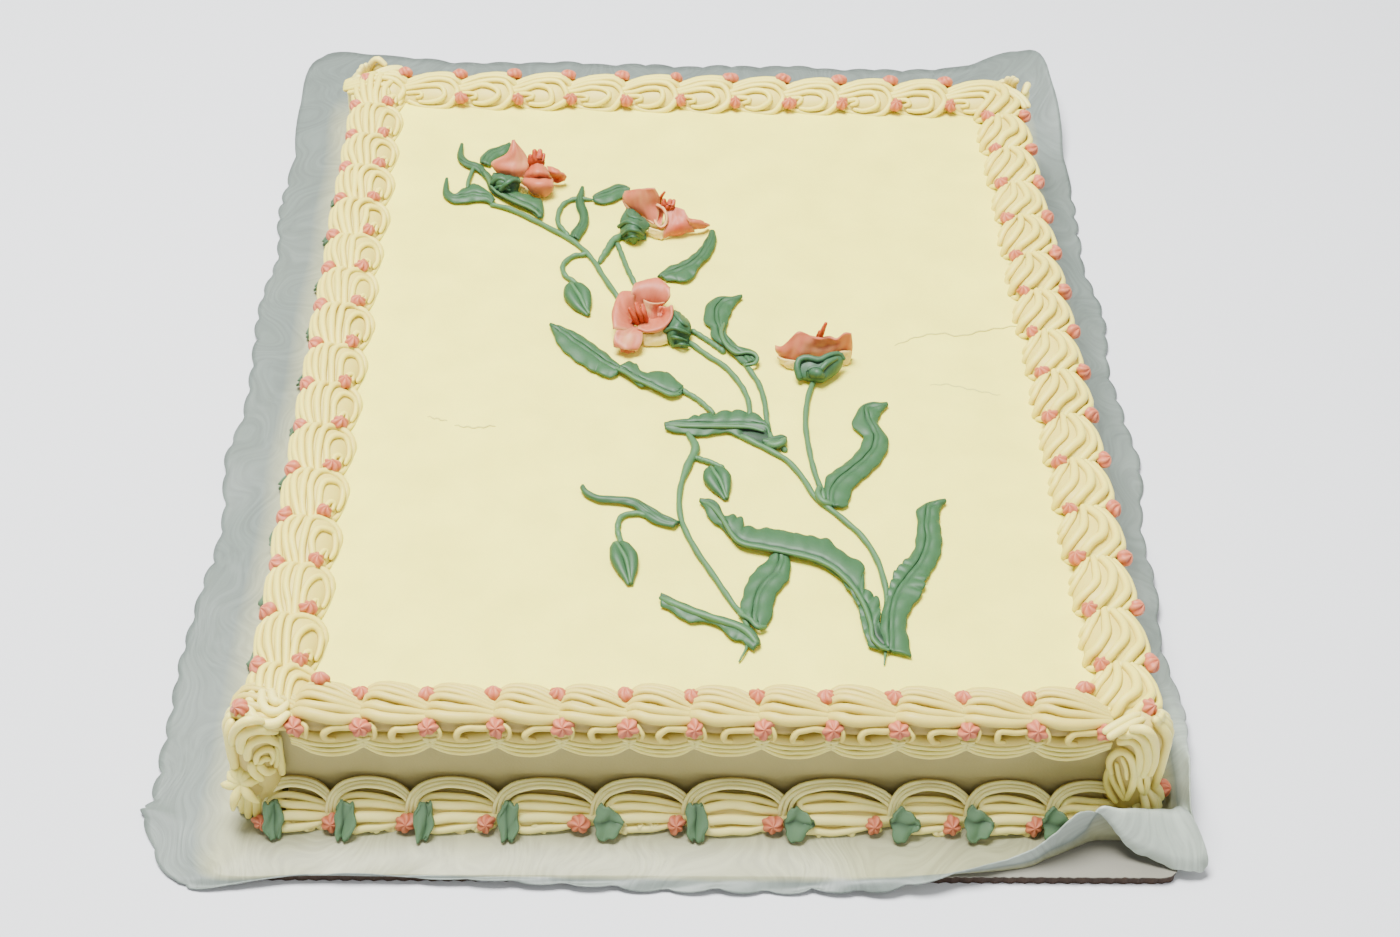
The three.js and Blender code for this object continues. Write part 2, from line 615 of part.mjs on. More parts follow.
const LEAVES = {
  leaf_tip_upper: [[-110.5, 157, 0.8], [-111, 147, 2.4], [-104, 139, 2.6], [-100, 133, 2]],
  leaf_tip_lower: [[-116, 129, 0.8], [-115, 116, 3.2], [-106, 113, 4.8], [-97, 115, 4]],
  leaf_behind_1: [[-95.5, 139.5, 2.2], [-95.5, 147, 4.2], [-90, 156, 3]],
  leaf_under_1: [[-90, 114, 2], [-81, 110.5, 4.6], [-74, 105, 4.4], [-69, 98, 0.8]],
  leaf_loop: [[-49, 118, 0.8], [-49.5, 107, 2.2], [-50, 97, 3.4], [-54, 86, 1.6]],
  leaf_at_flower_2: [[-46.5, 114.5, 2.4], [-40, 117, 4.6], [-35, 122, 2.4]],
  leaf_middle: [[9.5, 90, 0.8], [6, 78, 2.8], [1, 67, 4.6], [-6, 58.5, 4.8], [-13, 55, 2]],
  leaf_curled: [[18, 41.5, 1], [12, 36, 4.6], [8.5, 26, 4.8], [12, 14, 2.6], [17, 4, 2.8], [23.5, -0.5, 3.6]],
  leaf_left_tip: [[-62.5, 20, 1], [-56, 12, 4.4], [-47, 1, 5.6], [-38, -8, 5], [-31.5, -12, 2]],
  leaf_left_base: [[-27.5, -9.8, 1.6], [-22, -15, 4], [-13, -18.5, 4.8], [-7, -22, 2]],
  leaf_knot: [[-14, -44, 2.2], [-4, -44.5, 4.4], [8, -42.5, 5], [19, -42.5, 4.8], [26, -47, 3]],
  leaf_knot_curl: [[24.5, -52, 1.4], [30, -54.5, 2.8], [35, -52, 3.4]],
  leaf_right_upper: [[76, -30, 1.4], [70, -36, 4.4], [71, -48, 5.4], [70, -62, 5.6], [61, -76, 5.6],
    [54, -90, 2.6]],
  leaf_right_lower: [[96, -88, 1.4], [89, -96, 4.4], [90, -112, 4.6], [83, -129, 5.6], [74, -146, 4.4],
    [73, -166, 4]],
  leaf_long: [[1.5, -89, 1], [8, -99, 3.6], [19, -108.5, 5], [35, -113, 5.2], [50, -118.5, 5.4],
    [60, -134, 4.8], [63.5, -152, 4.4], [66, -164, 2.4]],
  leaf_low_right: [[32, -121.5, 2], [28, -129, 5], [22, -141, 5.6], [19.8, -154, 3.4]],
  leaf_low_left: [[-16, -141.5, 1.8], [-9, -147, 3.6], [2, -151.5, 3.4], [9, -157, 4], [15, -166, 2.8]],
  leaf_side_left: [[-47, -83, 0.8], [-38, -87.5, 1.6], [-27, -90, 2.4], [-18, -96.5, 2],
    [-12.4, -101.5, 1.8]],
  bud_1: [[-54, 48.5, 2], [-52, 40, 4.8], [-49, 31, 3.6], [-46.5, 26, 1]],
  bud_2: [[5.5, -71.5, 3], [7, -78, 4], [10, -88.5, 1.6]],
  bud_3: [[-32.5, -115, 2.6], [-30, -124, 4.6], [-28, -136, 1.8]],
};

function addSpray() {
  FLOWERS.forEach((flower, i) => addPiece(cake, `flower_${i + 1}`, flowerSolid(flower), pink));
  CALYXES.forEach((calyx, i) => addPiece(cake, `calyx_${i + 1}`, calyxSolid(calyx), green));
  Object.entries(STEMS).forEach(([name, points]) => {
    addPiece(cake, name, stemSolid(points, STEM_RADIUS, points.length + 1), green);
  });
  Object.entries(LEAVES).forEach(([name, stations]) => {
    addPiece(cake, name, leafSolid(stations, 2 * stations.length - 2), green);
  });
}

addBoard();
addPaper();
addCakeBody();
addBorders();
addCorners();
addSpray();

export default cake;
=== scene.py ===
import math
import bmesh
import bpy
import numpy as np
from mathutils import Matrix, Vector, noise


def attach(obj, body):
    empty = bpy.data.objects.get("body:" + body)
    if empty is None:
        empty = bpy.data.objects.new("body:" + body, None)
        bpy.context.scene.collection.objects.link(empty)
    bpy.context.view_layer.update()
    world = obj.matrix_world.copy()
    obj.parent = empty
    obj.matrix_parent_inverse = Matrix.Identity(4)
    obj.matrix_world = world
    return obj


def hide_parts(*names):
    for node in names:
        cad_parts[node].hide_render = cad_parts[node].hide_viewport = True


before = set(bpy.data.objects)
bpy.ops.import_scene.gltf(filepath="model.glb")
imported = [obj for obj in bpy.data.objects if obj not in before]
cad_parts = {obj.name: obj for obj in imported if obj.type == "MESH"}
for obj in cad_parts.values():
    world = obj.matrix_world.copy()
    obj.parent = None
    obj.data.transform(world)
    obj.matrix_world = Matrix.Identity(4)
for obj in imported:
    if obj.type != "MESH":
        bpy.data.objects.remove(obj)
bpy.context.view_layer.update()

# Lengths are in millimetres until they become a mesh or the camera's place. The floor and the lamps are set
# in metres.
MM = 0.001

# Camera, as the photograph was taken
FOCAL_PIXELS = 2150
PHOTO_WIDTH = 1400
PHOTO_HEIGHT = 937
SENSOR_WIDTH = 36
CAMERA_PITCH = 0.748719
CAMERA_YAW = 0.050116
CAMERA_ROLL = 0.045534
CAMERA_PLACE = (-31.87, -708.03, 643.24)

# Sizes of the board, the paper and the cake
BOARD_HALF_WIDTH = 174.5
BOARD_HALF_DEPTH = 238
BOARD_THICKNESS = 4
BOARD_CORNER = 6
PAPER_THICKNESS = 0.4
# How far the paper's edges lie from the middle of the cake
PAPER_LEFT = 201.5
PAPER_RIGHT = 196
PAPER_BACK = 306
PAPER_FRONT = 238.8
CAKE_HALF_WIDTH = 158
CAKE_HALF_DEPTH = 204.5
CAKE_FLOOR = 4.5
CAKE_TOP = 49.5

# Border along the top edge: an arc round a crest, in millimetres out from the cake's face
CREST_OUT = -3.5
TOP_OUTER = 7.4
TOP_HEIGHT = 8.6
# Border round the foot
FOOT_CREST_OUT = 2.5
FOOT_REACH = 14.4
FOOT_HEIGHT = 10.2
# Degrees round their crests between which the mounds of the two borders run
TOP_ROUND = (-97, 128)
FOOT_ROUND = (-60, 100)


def evenly(first, pitch, count):
    return [first + pitch * k for k in range(count)]


# Where shells and arches begin along each side, from head to tail
FRONT_ARCHES = (-161.6, -136, -106.6, -74.4, -38.6, -4.9, 31, 71, 99.5, 130, 161)
FRONT_SHELLS = (-168, -146, -122.6, -99, -75, -52, -27.8, -4.4, 20, 45, 69, 94, 118.8, 143.9)
SIDES = (
    {"name": "front", "half": CAKE_HALF_WIDTH, "away": CAKE_HALF_DEPTH, "inner": 14.5,
     "shells": FRONT_SHELLS, "arches": FRONT_ARCHES,
     "extra_stars": ((-137.5, -12.6, 7.6), (140.6, -13.4, 4.6))},
    {"name": "right", "half": CAKE_HALF_DEPTH, "away": CAKE_HALF_WIDTH, "inner": 16.5,
     "shells": (-202.5, *evenly(-177.9, 27.75, 15)), "arches": evenly(-203.8, 34.08, 13)},
    {"name": "back", "half": CAKE_HALF_WIDTH, "away": CAKE_HALF_DEPTH, "inner": 15.5,
     "shells": evenly(-154.2, 26.8, 13), "arches": evenly(-157.4, 31.6, 11)},
    {"name": "left", "half": CAKE_HALF_DEPTH, "away": CAKE_HALF_WIDTH, "inner": 17,
     "shells": (*evenly(-206.6, 26, 16), 206), "arches": evenly(-203.8, 34.08, 13)},
)


class Surfaces:
    """Points and faces of many closed surfaces that make one piece."""

    def __init__(self):
        self.points = []
        self.faces = []
        self.painted_shade_and_tone = []
        self.slots = []
        self.count = 0

    def add(self, points, faces, painted_shade_and_tone=0.0, slot=0):
        points = np.asarray(points, float).reshape(-1, 3)
        self.points.append(points)
        self.painted_shade_and_tone.append(np.broadcast_to(np.asarray(painted_shade_and_tone, float).reshape(-1), (len(points),)))
        for group in faces:
            group = np.asarray(group) + self.count
            self.faces.extend(group.tolist())
            self.slots.extend([slot] * len(group))
        self.count += len(points)


def unit(vectors):
    vectors = np.asarray(vectors, float)
    return vectors / np.maximum(np.linalg.norm(vectors, axis=-1, keepdims=True), 1e-9)


def spline(a, b, c, d, f):
    """Catmull-Rom between b and c, at a share f of the way."""
    return 0.5 * (2 * b + (c - a) * f + (2 * a - 5 * b + 4 * c - d) * f**2 + (3 * b - a - 3 * c + d) * f**3)


def dense_curve(points, steps):
    """Many points along a smooth curve through the given ones."""
    p = np.asarray(points, float)
    p = np.vstack([2 * p[0] - p[1], p, 2 * p[-1] - p[-2]])
    spans = len(p) - 3
    u = np.linspace(0, spans, steps * spans + 1)
    i = np.minimum(u.astype(int), spans - 1)
    return spline(p[i], p[i + 1], p[i + 2], p[i + 3], (u - i)[:, None])


def closed_curve(values, steps):
    """Many places on a smooth closed loop through the given ones."""
    a, b, c, d = (np.repeat(np.roll(values, turn, 0), steps, 0) for turn in (1, 0, -1, -2))
    f = np.tile(np.arange(steps) / steps, len(values))
    return spline(a, b, c, d, f[:, None, None])


def along(points, count):
    """Rows spread evenly along a polyline, whose length is taken from the first three columns."""
    length = np.concatenate([[0], np.cumsum(np.linalg.norm(np.diff(points[:, :3], axis=0), axis=1))])
    at = np.linspace(0, 1, count) * length[-1]
    return np.stack([np.interp(at, length, column) for column in points.T], 1)


def taper(count, places, sizes):
    """Sizes along a path, between those given at shares of its length."""
    return np.interp(np.linspace(0, 1, count), places, sizes)


def compass(degrees):
    """Level directions, by degrees from +X towards +Y."""
    return np.stack([np.cos(np.radians(degrees)), np.sin(np.radians(degrees))], -1)


def ring_faces(rings, around):
    """Quads between rings of equal count, and a fan at each end to one more point."""
    near = np.arange(rings - 1)[:, None] * around + np.arange(around)[None, :]
    turn = np.arange(rings - 1)[:, None] * around + (np.arange(around)[None, :] + 1) % around
    quads = np.stack([near, turn, turn + around, near + around], -1).reshape(-1, 4)
    first, last = rings * around, rings * around + 1
    i = np.arange(around)
    start = np.stack([np.full(around, first), (i + 1) % around, i], -1)
    base = (rings - 1) * around
    end = np.stack([np.full(around, last), base + i, base + (i + 1) % around], -1)
    return [quads, start, end]


# The round end of a rope: how far its rings lie beyond the path, as shares of the radius
ROUND_END = np.array((0.98, 0.8, 0.45))


def rope(out, path, normals, radius, around=10, flat=1.0, lobes=0, groove=0.0, twist=0.0, painted_shade_and_tone=0.0, slot=0):
    """A piped string of icing with round ends. Lobes make the ridges that a star tube leaves."""
    path = np.asarray(path, float)
    radius = np.broadcast_to(np.asarray(radius, float), (len(path),))
    tangent = unit(np.gradient(path, axis=0))
    normals = np.broadcast_to(np.asarray(normals, float), path.shape)
    normals = unit(normals - (normals * tangent).sum(1, keepdims=True) * tangent)
    side = np.cross(tangent, normals)
    head = path[0] - np.outer(radius[0] * ROUND_END, tangent[0])
    tail = path[-1] + np.outer(radius[-1] * ROUND_END[::-1], tangent[-1])
    path = np.vstack([head, path, tail])
    normals, side = (np.pad(v, ((len(ROUND_END),) * 2, (0, 0)), "edge") for v in (normals, side))
    shrink = np.sqrt(1 - ROUND_END**2)
    radius = np.concatenate([radius[0] * shrink, radius, radius[-1] * shrink[::-1]])
    angle = np.linspace(0, 2 * math.pi, around, endpoint=False)
    turned = angle[None, :] + twist * np.linspace(0, 1, len(path))[:, None]
    size = 1
    if lobes:
        size = 1 - groove + groove * np.abs(np.cos(lobes * angle / 2)) ** 0.7
    r = radius[:, None] * size
    points = (path[:, None] + (np.cos(turned) * r * flat)[..., None] * normals[:, None]
              + (np.sin(turned) * r)[..., None] * side[:, None])
    # Painted shade: the side that faces away from the normal lies against other icing, and its colour is
    # darkened
    shade = painted_shade_and_tone + (1 - painted_shade_and_tone) * 0.85 * np.clip(0.35 - np.cos(turned), 0, 1)
    points = np.vstack([points.reshape(-1, 3), path[:1], path[-1:]])
    out.add(points, ring_faces(len(path), around), np.append(shade, (painted_shade_and_tone, painted_shade_and_tone)), slot)


def grid_faces(rows, columns):
    """Quads of a grid of points, row by row."""
    k = np.arange(rows * columns).reshape(rows, columns)
    return np.stack([k[:-1, :-1].ravel(), k[:-1, 1:].ravel(), k[1:, 1:].ravel(), k[1:, :-1].ravel()], -1)


def sheet(out, grid, thickness, painted_shade_and_tone=0.0, slot=0):
    """A thin closed skin on both sides of a grid of points."""
    rows, columns = grid.shape[:2]
    normal = unit(np.cross(np.gradient(grid, axis=1), np.gradient(grid, axis=0)))
    half = (np.broadcast_to(thickness, (rows, columns)) / 2)[..., None]
    points = np.concatenate([(grid + normal * half).reshape(-1, 3), (grid - normal * half).reshape(-1, 3)])
    total = rows * columns
    k = np.arange(total).reshape(rows, columns)
    top = grid_faces(rows, columns)[:, (0, 3, 2, 1)]
    rim = np.concatenate([k[0, :], k[1:, -1], k[-1, -2::-1], k[-2:0:-1, 0]])
    following = np.roll(rim, -1)
    edge = np.stack([rim, following, following + total, rim + total], -1)
    painted_shade_and_tone = np.broadcast_to(painted_shade_and_tone, (rows, columns)).reshape(-1)
    out.add(points, [top, top[:, ::-1] + total, edge], np.concatenate([painted_shade_and_tone, painted_shade_and_tone]), slot)


def make_piece(name, surfaces, materials, nodes, smooth=True):
    """A Blender object from the gathered surfaces, standing for the named CAD nodes."""
    mesh = bpy.data.meshes.new(name)
    mesh.from_pydata((np.concatenate(surfaces.points) * MM).tolist(), [], surfaces.faces)
    for material in materials:
        mesh.materials.append(material)
    mesh.polygons.foreach_set("material_index", surfaces.slots)
    mesh.polygons.foreach_set("use_smooth", [smooth] * len(surfaces.faces))
    # A mask for each point: in icing, painted shade above nought and paler colour below; in the paper, its
    # warm tone over the board, and painted light below nought
    layer = mesh.attributes.new("painted_shade_and_tone", "FLOAT", "POINT")
    layer.data.foreach_set("value", np.concatenate(surfaces.painted_shade_and_tone).astype(np.float32))
    mesh.update()
    piece = bpy.data.objects.new(name, mesh)
    bpy.context.scene.collection.objects.link(piece)
    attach(piece, "root")
    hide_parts(*nodes)
    return piece


# Materials

# How fine the noises are: one over their size in metres, then how many finer ones lie in each
ICING_CLOUD = (45, 3)
ICING_GRAIN = (900, 2)
PAPER_CLOUD = (14, 2)
PAPER_BEND = (22, 1)
# The paper's stamp: its noise is narrow across the sheet and long down it
FEATHER = (1, 3)
FEATHER_STRETCH = (420, 60, 60)
FEATHER_BEND = (0.10, 0.10, 0.0)


def new_material(name):
    material = bpy.data.materials.new(name)
    material.use_nodes = True
    return material


def fill_in(material, node, values):
    """Sets a node's inputs, each to a value or to what another node puts out."""
    for name, value in values.items():
        if isinstance(value, bpy.types.NodeSocket):
            material.node_tree.links.new(value, node.inputs[name])
        else:
            node.inputs[name].default_value = value


def add_node(material, kind, output, values, **settings):
    """Adds a shader node, and gives back the output that is asked for."""
    node = material.node_tree.nodes.new("ShaderNode" + kind)
    for setting, value in settings.items():
        setattr(node, setting, value)
    fill_in(material, node, values)
    return node.outputs[output]


def clouds(material, place, grain, output="Fac"):
    scale, detail = grain
    return add_node(material, "TexNoise", output, {"Vector": place, "Scale": scale, "Detail": detail})


def blended(material, share, first, second):
    """The first colour where share is nought, the second where it is one. Either may be a node's output."""
    first, second = ((*c, 1) if isinstance(c, tuple) else c for c in (first, second))
    return add_node(material, "Mix", "Result", {"Factor": share, "A": first, "B": second}, data_type="RGBA")


def below_nought(material, value):
    """How far a value lies below nought, up to one."""
    return add_node(material, "MapRange", "Result", {"Value": value, "From Max": -1})


def spread_out(material, value, from_range, to_range):
    low, high = from_range
    least, most = to_range
    return add_node(material, "MapRange", "Result", {"Value": value, "From Min": low, "From Max": high,
                                                     "To Min": least, "To Max": most})


def icing_material(name, colour, painted_shade_colour, roughness=0.5, scatter=0.25, grain=0.12, mottle=0.06,
                   pale=None):
    """Icing: soft light inside, a darker colour painted as shade in the grooves and hollows, and paler
    where its mask is below nought.
    """
    material = new_material(name)
    place = add_node(material, "TexCoord", "Object", {})
    painted_shade_and_tone = add_node(material, "Attribute", "Fac", {}, attribute_name="painted_shade_and_tone")
    # Painted shade: the colour turns to the darker one as the mask rises
    tone = blended(material, painted_shade_and_tone, colour, painted_shade_colour)
    if pale:
        tone = blended(material, below_nought(material, painted_shade_and_tone), tone, pale)
    shade = spread_out(material, clouds(material, place, ICING_CLOUD), (0.3, 0.7), (1 - mottle, 1))
    tone = add_node(material, "Mix", "Result", {"Factor": 1, "A": tone, "B": shade},
                    data_type="RGBA", blend_type="MULTIPLY")
    bump = add_node(material, "Bump", "Normal", {"Height": clouds(material, place, ICING_GRAIN),
                                                 "Strength": grain, "Distance": 0.3 * MM})
    fill_in(material, material.node_tree.nodes["Principled BSDF"], {
        "Roughness": roughness, "Specular IOR Level": 0.35, "Subsurface Weight": scatter,
        "Subsurface Radius": (3.0, 2.0, 1.0), "Subsurface Scale": MM, "Base Color": tone, "Normal": bump})
    return material


def paper_material():
    """Thin greaseproof paper with a faint feathery stamp. It is warm where it lies over the board, and
    paler, as painted light, where its mask is below nought: on the flap that faces away from the lamps."""
    material = new_material("paper_embossed")
    place = add_node(material, "TexCoord", "Object", {})
    painted_shade_and_tone = add_node(material, "Attribute", "Fac", {}, attribute_name="painted_shade_and_tone")
    cloud = clouds(material, place, PAPER_CLOUD)
    tone = blended(material, cloud, (0.118, 0.148, 0.135), (0.175, 0.205, 0.178))
    tone = blended(material, painted_shade_and_tone, tone, (0.335, 0.34, 0.20))
    # Painted light: paler where the mask is below nought
    tone = blended(material, below_nought(material, painted_shade_and_tone), tone, (0.44, 0.50, 0.42))
    bend = clouds(material, place, PAPER_BEND, "Color")
    warped = add_node(material, "VectorMath", "Vector", {0: bend, 1: FEATHER_BEND, 2: place},
                      operation="MULTIPLY_ADD")
    stretched = add_node(material, "Mapping", "Vector", {"Vector": warped, "Scale": FEATHER_STRETCH})
    feather = clouds(material, stretched, FEATHER)
    streak = spread_out(material, feather, (0.35, 0.65), (0.87, 1.1))
    tone = add_node(material, "VectorMath", "Vector", {0: tone, 1: streak}, operation="MULTIPLY")
    bump = add_node(material, "Bump", "Normal", {"Height": feather, "Strength": 0.45, "Distance": 0.4 * MM})
    fill_in(material, material.node_tree.nodes["Principled BSDF"], {
        "Roughness": 0.5, "Subsurface Weight": 0.3, "Subsurface Radius": (1.0, 1.0, 1.0),
        "Subsurface Scale": MM, "Base Color": tone, "Normal": bump})
    return material


def board_material(name, light, dark, scale, roughness):
    material = new_material(name)
    place = add_node(material, "TexCoord", "Object", {})
    tone = blended(material, clouds(material, place, (scale, 4)), dark, light)
    shader = material.node_tree.nodes["Principled BSDF"]
    fill_in(material, shader, {"Roughness": roughness, "Base Color": tone})
    return material


# The cream of each border was set against the photograph: the colour, then the painted shade colour in its
# grooves
CREAM = icing_material("cream_piping", (0.85, 0.72, 0.12), (0.50, 0.38, 0.09))
# A darker copy of the cream: painted shade for the front border, which lies in shade
CREAM_FRONT_PAINTED_SHADE = icing_material("cream_front_piping_painted_shade", (0.67, 0.545, 0.11), (0.42, 0.31, 0.07))
# A paler copy of the cream: painted light for the arch strands at the foot, which lie in shade
CREAM_ARCH_PAINTED_LIGHT = icing_material("cream_arches_painted_light", (0.98, 0.89, 0.34), (0.6, 0.46, 0.14))
# A lighter copy of the front cream: painted light for the swag strands
CREAM_SWAG_PAINTED_LIGHT = icing_material("cream_swags_painted_light", (0.8, 0.7, 0.19), (0.36, 0.28, 0.08))
# A paler copy of the cream: painted light for the foot border and the drops at the right corner's foot,
# which lie in shade
CREAM_LOW_PAINTED_LIGHT = icing_material("cream_foot_piping_painted_light", (0.97, 0.86, 0.29), (0.58, 0.43, 0.12))
CREAM_TOP = icing_material("cream_top", (0.94, 0.87, 0.14), (0.42, 0.36, 0.135),
                           roughness=0.6, grain=0.4, mottle=0.1)
# A copy of the cream for the corner columns, tuned as painted light for their half-shaded place
CREAM_CORNER_PAINTED_LIGHT = icing_material("cream_corner_piping_painted_light", (0.88, 0.765, 0.19), (0.53, 0.41, 0.11))
STAR_PINK = icing_material("pink_stars", (0.55, 0.17, 0.085), (0.42, 0.06, 0.022), scatter=0.2)
FOOT_PINK = icing_material("pink_foot_stars", (0.62, 0.20, 0.10), (0.45, 0.075, 0.03), scatter=0.2)
# A lighter copy of the leaf green: painted light for the foot leaves, which lie in shade
FOOT_GREEN_PAINTED_LIGHT = icing_material("green_foot_leaves_painted_light", (0.10, 0.19, 0.095), (0.028, 0.062, 0.028), scatter=0.1)
PINK = icing_material("pink_icing", (0.48, 0.128, 0.06), (0.40, 0.048, 0.012),
                      scatter=0.2, pale=(0.70, 0.42, 0.16))
BLUSH = icing_material("pale_petal_backs", (0.76, 0.58, 0.17), (0.52, 0.27, 0.07), scatter=0.2)
GREEN = icing_material("green_icing", (0.033, 0.098, 0.036), (0.012, 0.038, 0.015), scatter=0.1)
SEPAL_GREEN = icing_material("green_sepals", (0.037, 0.106, 0.046), (0.02, 0.062, 0.028), scatter=0.1)
STEM_GREEN = icing_material("green_stems", (0.06, 0.147, 0.058), (0.03, 0.072, 0.028), scatter=0.1)
PAPER = paper_material()
# The board's white liner, darkened with painted shade, and its brown card, darkened further with painted
# shade in the flutes
LINER_PAINTED_SHADE = board_material("board_white_painted_shade", (0.20, 0.193, 0.152), (0.17, 0.165, 0.13), 60, 0.8)
FLUTES_AND_PAINTED_SHADE = board_material("board_brown_and_painted_shade", (0.055, 0.028, 0.014), (0.016, 0.009, 0.006), 300, 0.9)


# Camera, floor and light

FLOOR_REACH = 4.0
# Lamps: where they hang, how wide they are and how strong. All face the same place.
LAMPS = {
    "front_fill": ((-0.2, -1.5, 0.9), 1.4, 8),
    "overhead": ((-0.28, 0.12, 1.6), 0.8, 100),
    "side_fill": ((0.9, -0.4, 1.0), 1.0, 4),
}
LAMPS_FACE = (0, 0, 0.03)
SKY_COLOUR = (0.96, 0.98, 1, 1)
SKY_STRENGTH = 0.32


def camera_axes():
    forward = Vector((math.sin(CAMERA_YAW) * math.cos(CAMERA_PITCH),
                      math.cos(CAMERA_YAW) * math.cos(CAMERA_PITCH), -math.sin(CAMERA_PITCH)))
    level = Vector((math.cos(CAMERA_YAW), -math.sin(CAMERA_YAW), 0))
    upright = level.cross(forward)
    right = level * math.cos(CAMERA_ROLL) + upright * math.sin(CAMERA_ROLL)
    up = upright * math.cos(CAMERA_ROLL) - level * math.sin(CAMERA_ROLL)
    return forward, right, up


def seen(points, corner, zoom=7):
    """Places in the world of points drawn over a view of the photograph, enlarged from its corner: across
    and down in the view, then the height above the cake's top."""
    points = np.asarray(points, float)
    forward, right, up = np.array(camera_axes())
    across = corner[0] + points[..., 0] / zoom - PHOTO_WIDTH / 2
    down = corner[1] + points[..., 1] / zoom - PHOTO_HEIGHT / 2
    ray = forward * FOCAL_PIXELS + across[..., None] * right - down[..., None] * up
    away = (CAKE_TOP + points[..., 2] - CAMERA_PLACE[2]) / ray[..., 2]
    return np.array(CAMERA_PLACE) + ray * away[..., None]


def add_camera():
    data = bpy.data.cameras.new("photo_camera")
    data.sensor_width = SENSOR_WIDTH
    data.lens = FOCAL_PIXELS / PHOTO_WIDTH * SENSOR_WIDTH
    data.clip_start = 0.01
    forward, right, up = camera_axes()
    camera = bpy.data.objects.new("photo_camera", data)
    bpy.context.scene.collection.objects.link(camera)
    turn = Matrix((right, up, -forward)).transposed().to_4x4()
    camera.matrix_world = Matrix.Translation(Vector(CAMERA_PLACE) * MM) @ turn
    bpy.context.scene.camera = camera


def add_floor():
    mesh = bpy.data.meshes.new("floor")
    places = [(x * FLOOR_REACH, y * FLOOR_REACH, 0) for x, y in ((-1, -1), (1, -1), (1, 1), (-1, 1))]
    mesh.from_pydata(places, [], [(0, 1, 2, 3)])
    mesh.materials.append(board_material("floor_pale", (0.66, 0.67, 0.69), (0.64, 0.65, 0.67), 3, 0.95))
    floor = bpy.data.objects.new("floor", mesh)
    bpy.context.scene.collection.objects.link(floor)


def add_lamp(name, place, size, energy):
    data = bpy.data.lights.new(name, "AREA")
    data.shape = "DISK"
    data.size = size
    data.energy = energy
    lamp = bpy.data.objects.new(name, data)
    lamp.location = place
    lamp.rotation_euler = (Vector(LAMPS_FACE) - lamp.location).to_track_quat("-Z", "Y").to_euler()
    bpy.context.scene.collection.objects.link(lamp)


def add_light():
    for name, (place, size, energy) in LAMPS.items():
        add_lamp(name, place, size, energy)
    world = bpy.data.worlds.new("studio")
    bpy.context.scene.world = world
    world.use_nodes = True
    sky = world.node_tree.nodes["Background"]
    sky.inputs["Color"].default_value = SKY_COLOUR
    sky.inputs["Strength"].default_value = SKY_STRENGTH


# Borders. A side's own frame has s along the run from head to tail, o out from the face, z up.

def quarter_turn(quarter, x, y, z):
    """Places or directions, turned by quarters about the cake's middle."""
    c, d = math.cos(quarter * math.pi / 2), math.sin(quarter * math.pi / 2)
    return np.stack([x * c - y * d, x * d + y * c, z + 0 * x], -1)


def to_world(side, quarter, s, o, z):
    return quarter_turn(quarter, s, -side["away"] - o, z)


def to_world_vector(quarter, s, o, z):
    return quarter_turn(quarter, s, -o, z)


# How big a shell is along its run: it swells from its head and tapers to its tail
SHELL_PHASES = (-0.12, -0.03, 0.05, 0.16, 0.34, 0.6, 0.82, 1.0, 1.12)
SHELL_SIZES = (0.36, 0.52, 0.82, 0.98, 1.0, 0.9, 0.7, 0.52, 0.38)


class Mound:
    """The rounded form under a border's ridges: phase runs along a shell, degrees run round it."""

    def __init__(self, side, quarter, crest, inner, outer, height, level):
        self.side, self.quarter = side, quarter
        self.crest, self.inner, self.outer = crest, inner, outer
        self.height, self.level = height, level

    def point(self, start, pitch, phase, degrees, lift, size=1.0):
        phase, degrees = np.asarray(phase, float), np.asarray(degrees, float)
        swell = np.interp(phase, SHELL_PHASES, SHELL_SIZES) * size
        angle = np.radians(degrees)
        inner = (self.inner + self.crest) * (0.36 + 0.64 * swell)
        outer = (self.outer - self.crest) * (0.46 + 0.54 * swell)
        reach = np.where(degrees < 0, inner, outer)
        rise = self.height * swell
        sine, cosine = np.sin(angle), np.cos(angle)
        across, upward = sine / reach, cosine / rise
        scale = np.hypot(across, upward)
        across, upward = across / scale, upward / scale
        o = self.crest + reach * sine + across * lift
        z = self.level + rise * cosine + upward * lift
        s = start + pitch * phase
        return (to_world(self.side, self.quarter, s, o, z),
                to_world_vector(self.quarter, 0 * across, across, upward))


# Ridges of one shell: the radius, then phase along the shell and degrees round its crest.
# Left and back: the first three nest in one another on the inner side, open to the tail.
NEST_RIDGES = (
    (1.45, (1.08, -14), (0.78, -8), (0.42, -5), (0.16, -11), (0.03, -32), (0.05, -58), (0.22, -84),
     (0.5, -95), (0.76, -91), (0.9, -80)),
    (1.35, (1.08, -26), (0.84, -26), (0.56, -22), (0.34, -28), (0.26, -46), (0.33, -64), (0.52, -76),
     (0.7, -76)),
    (1.15, (1.0, -44), (0.86, -42), (0.7, -44), (0.66, -54), (0.76, -60)),
    (1.5, (-0.06, 4), (0.02, 6), (0.2, 11), (0.5, 13), (0.85, 8), (1.09, -2)),
    (1.5, (-0.06, 24), (0.02, 26), (0.2, 33), (0.5, 34), (0.85, 26), (1.09, 12)),
    (1.4, (-0.04, 44), (0.03, 46), (0.2, 54), (0.5, 56), (0.85, 45), (1.09, 26)),
    (1.4, (0.3, 106), (0.12, 98), (0.05, 84), (0.12, 76), (0.35, 77), (0.6, 76), (0.9, 62), (1.09, 40)),
    (1.2, (0.6, 106), (0.45, 102), (0.4, 96), (0.55, 93), (0.8, 82), (1.05, 58)),
)
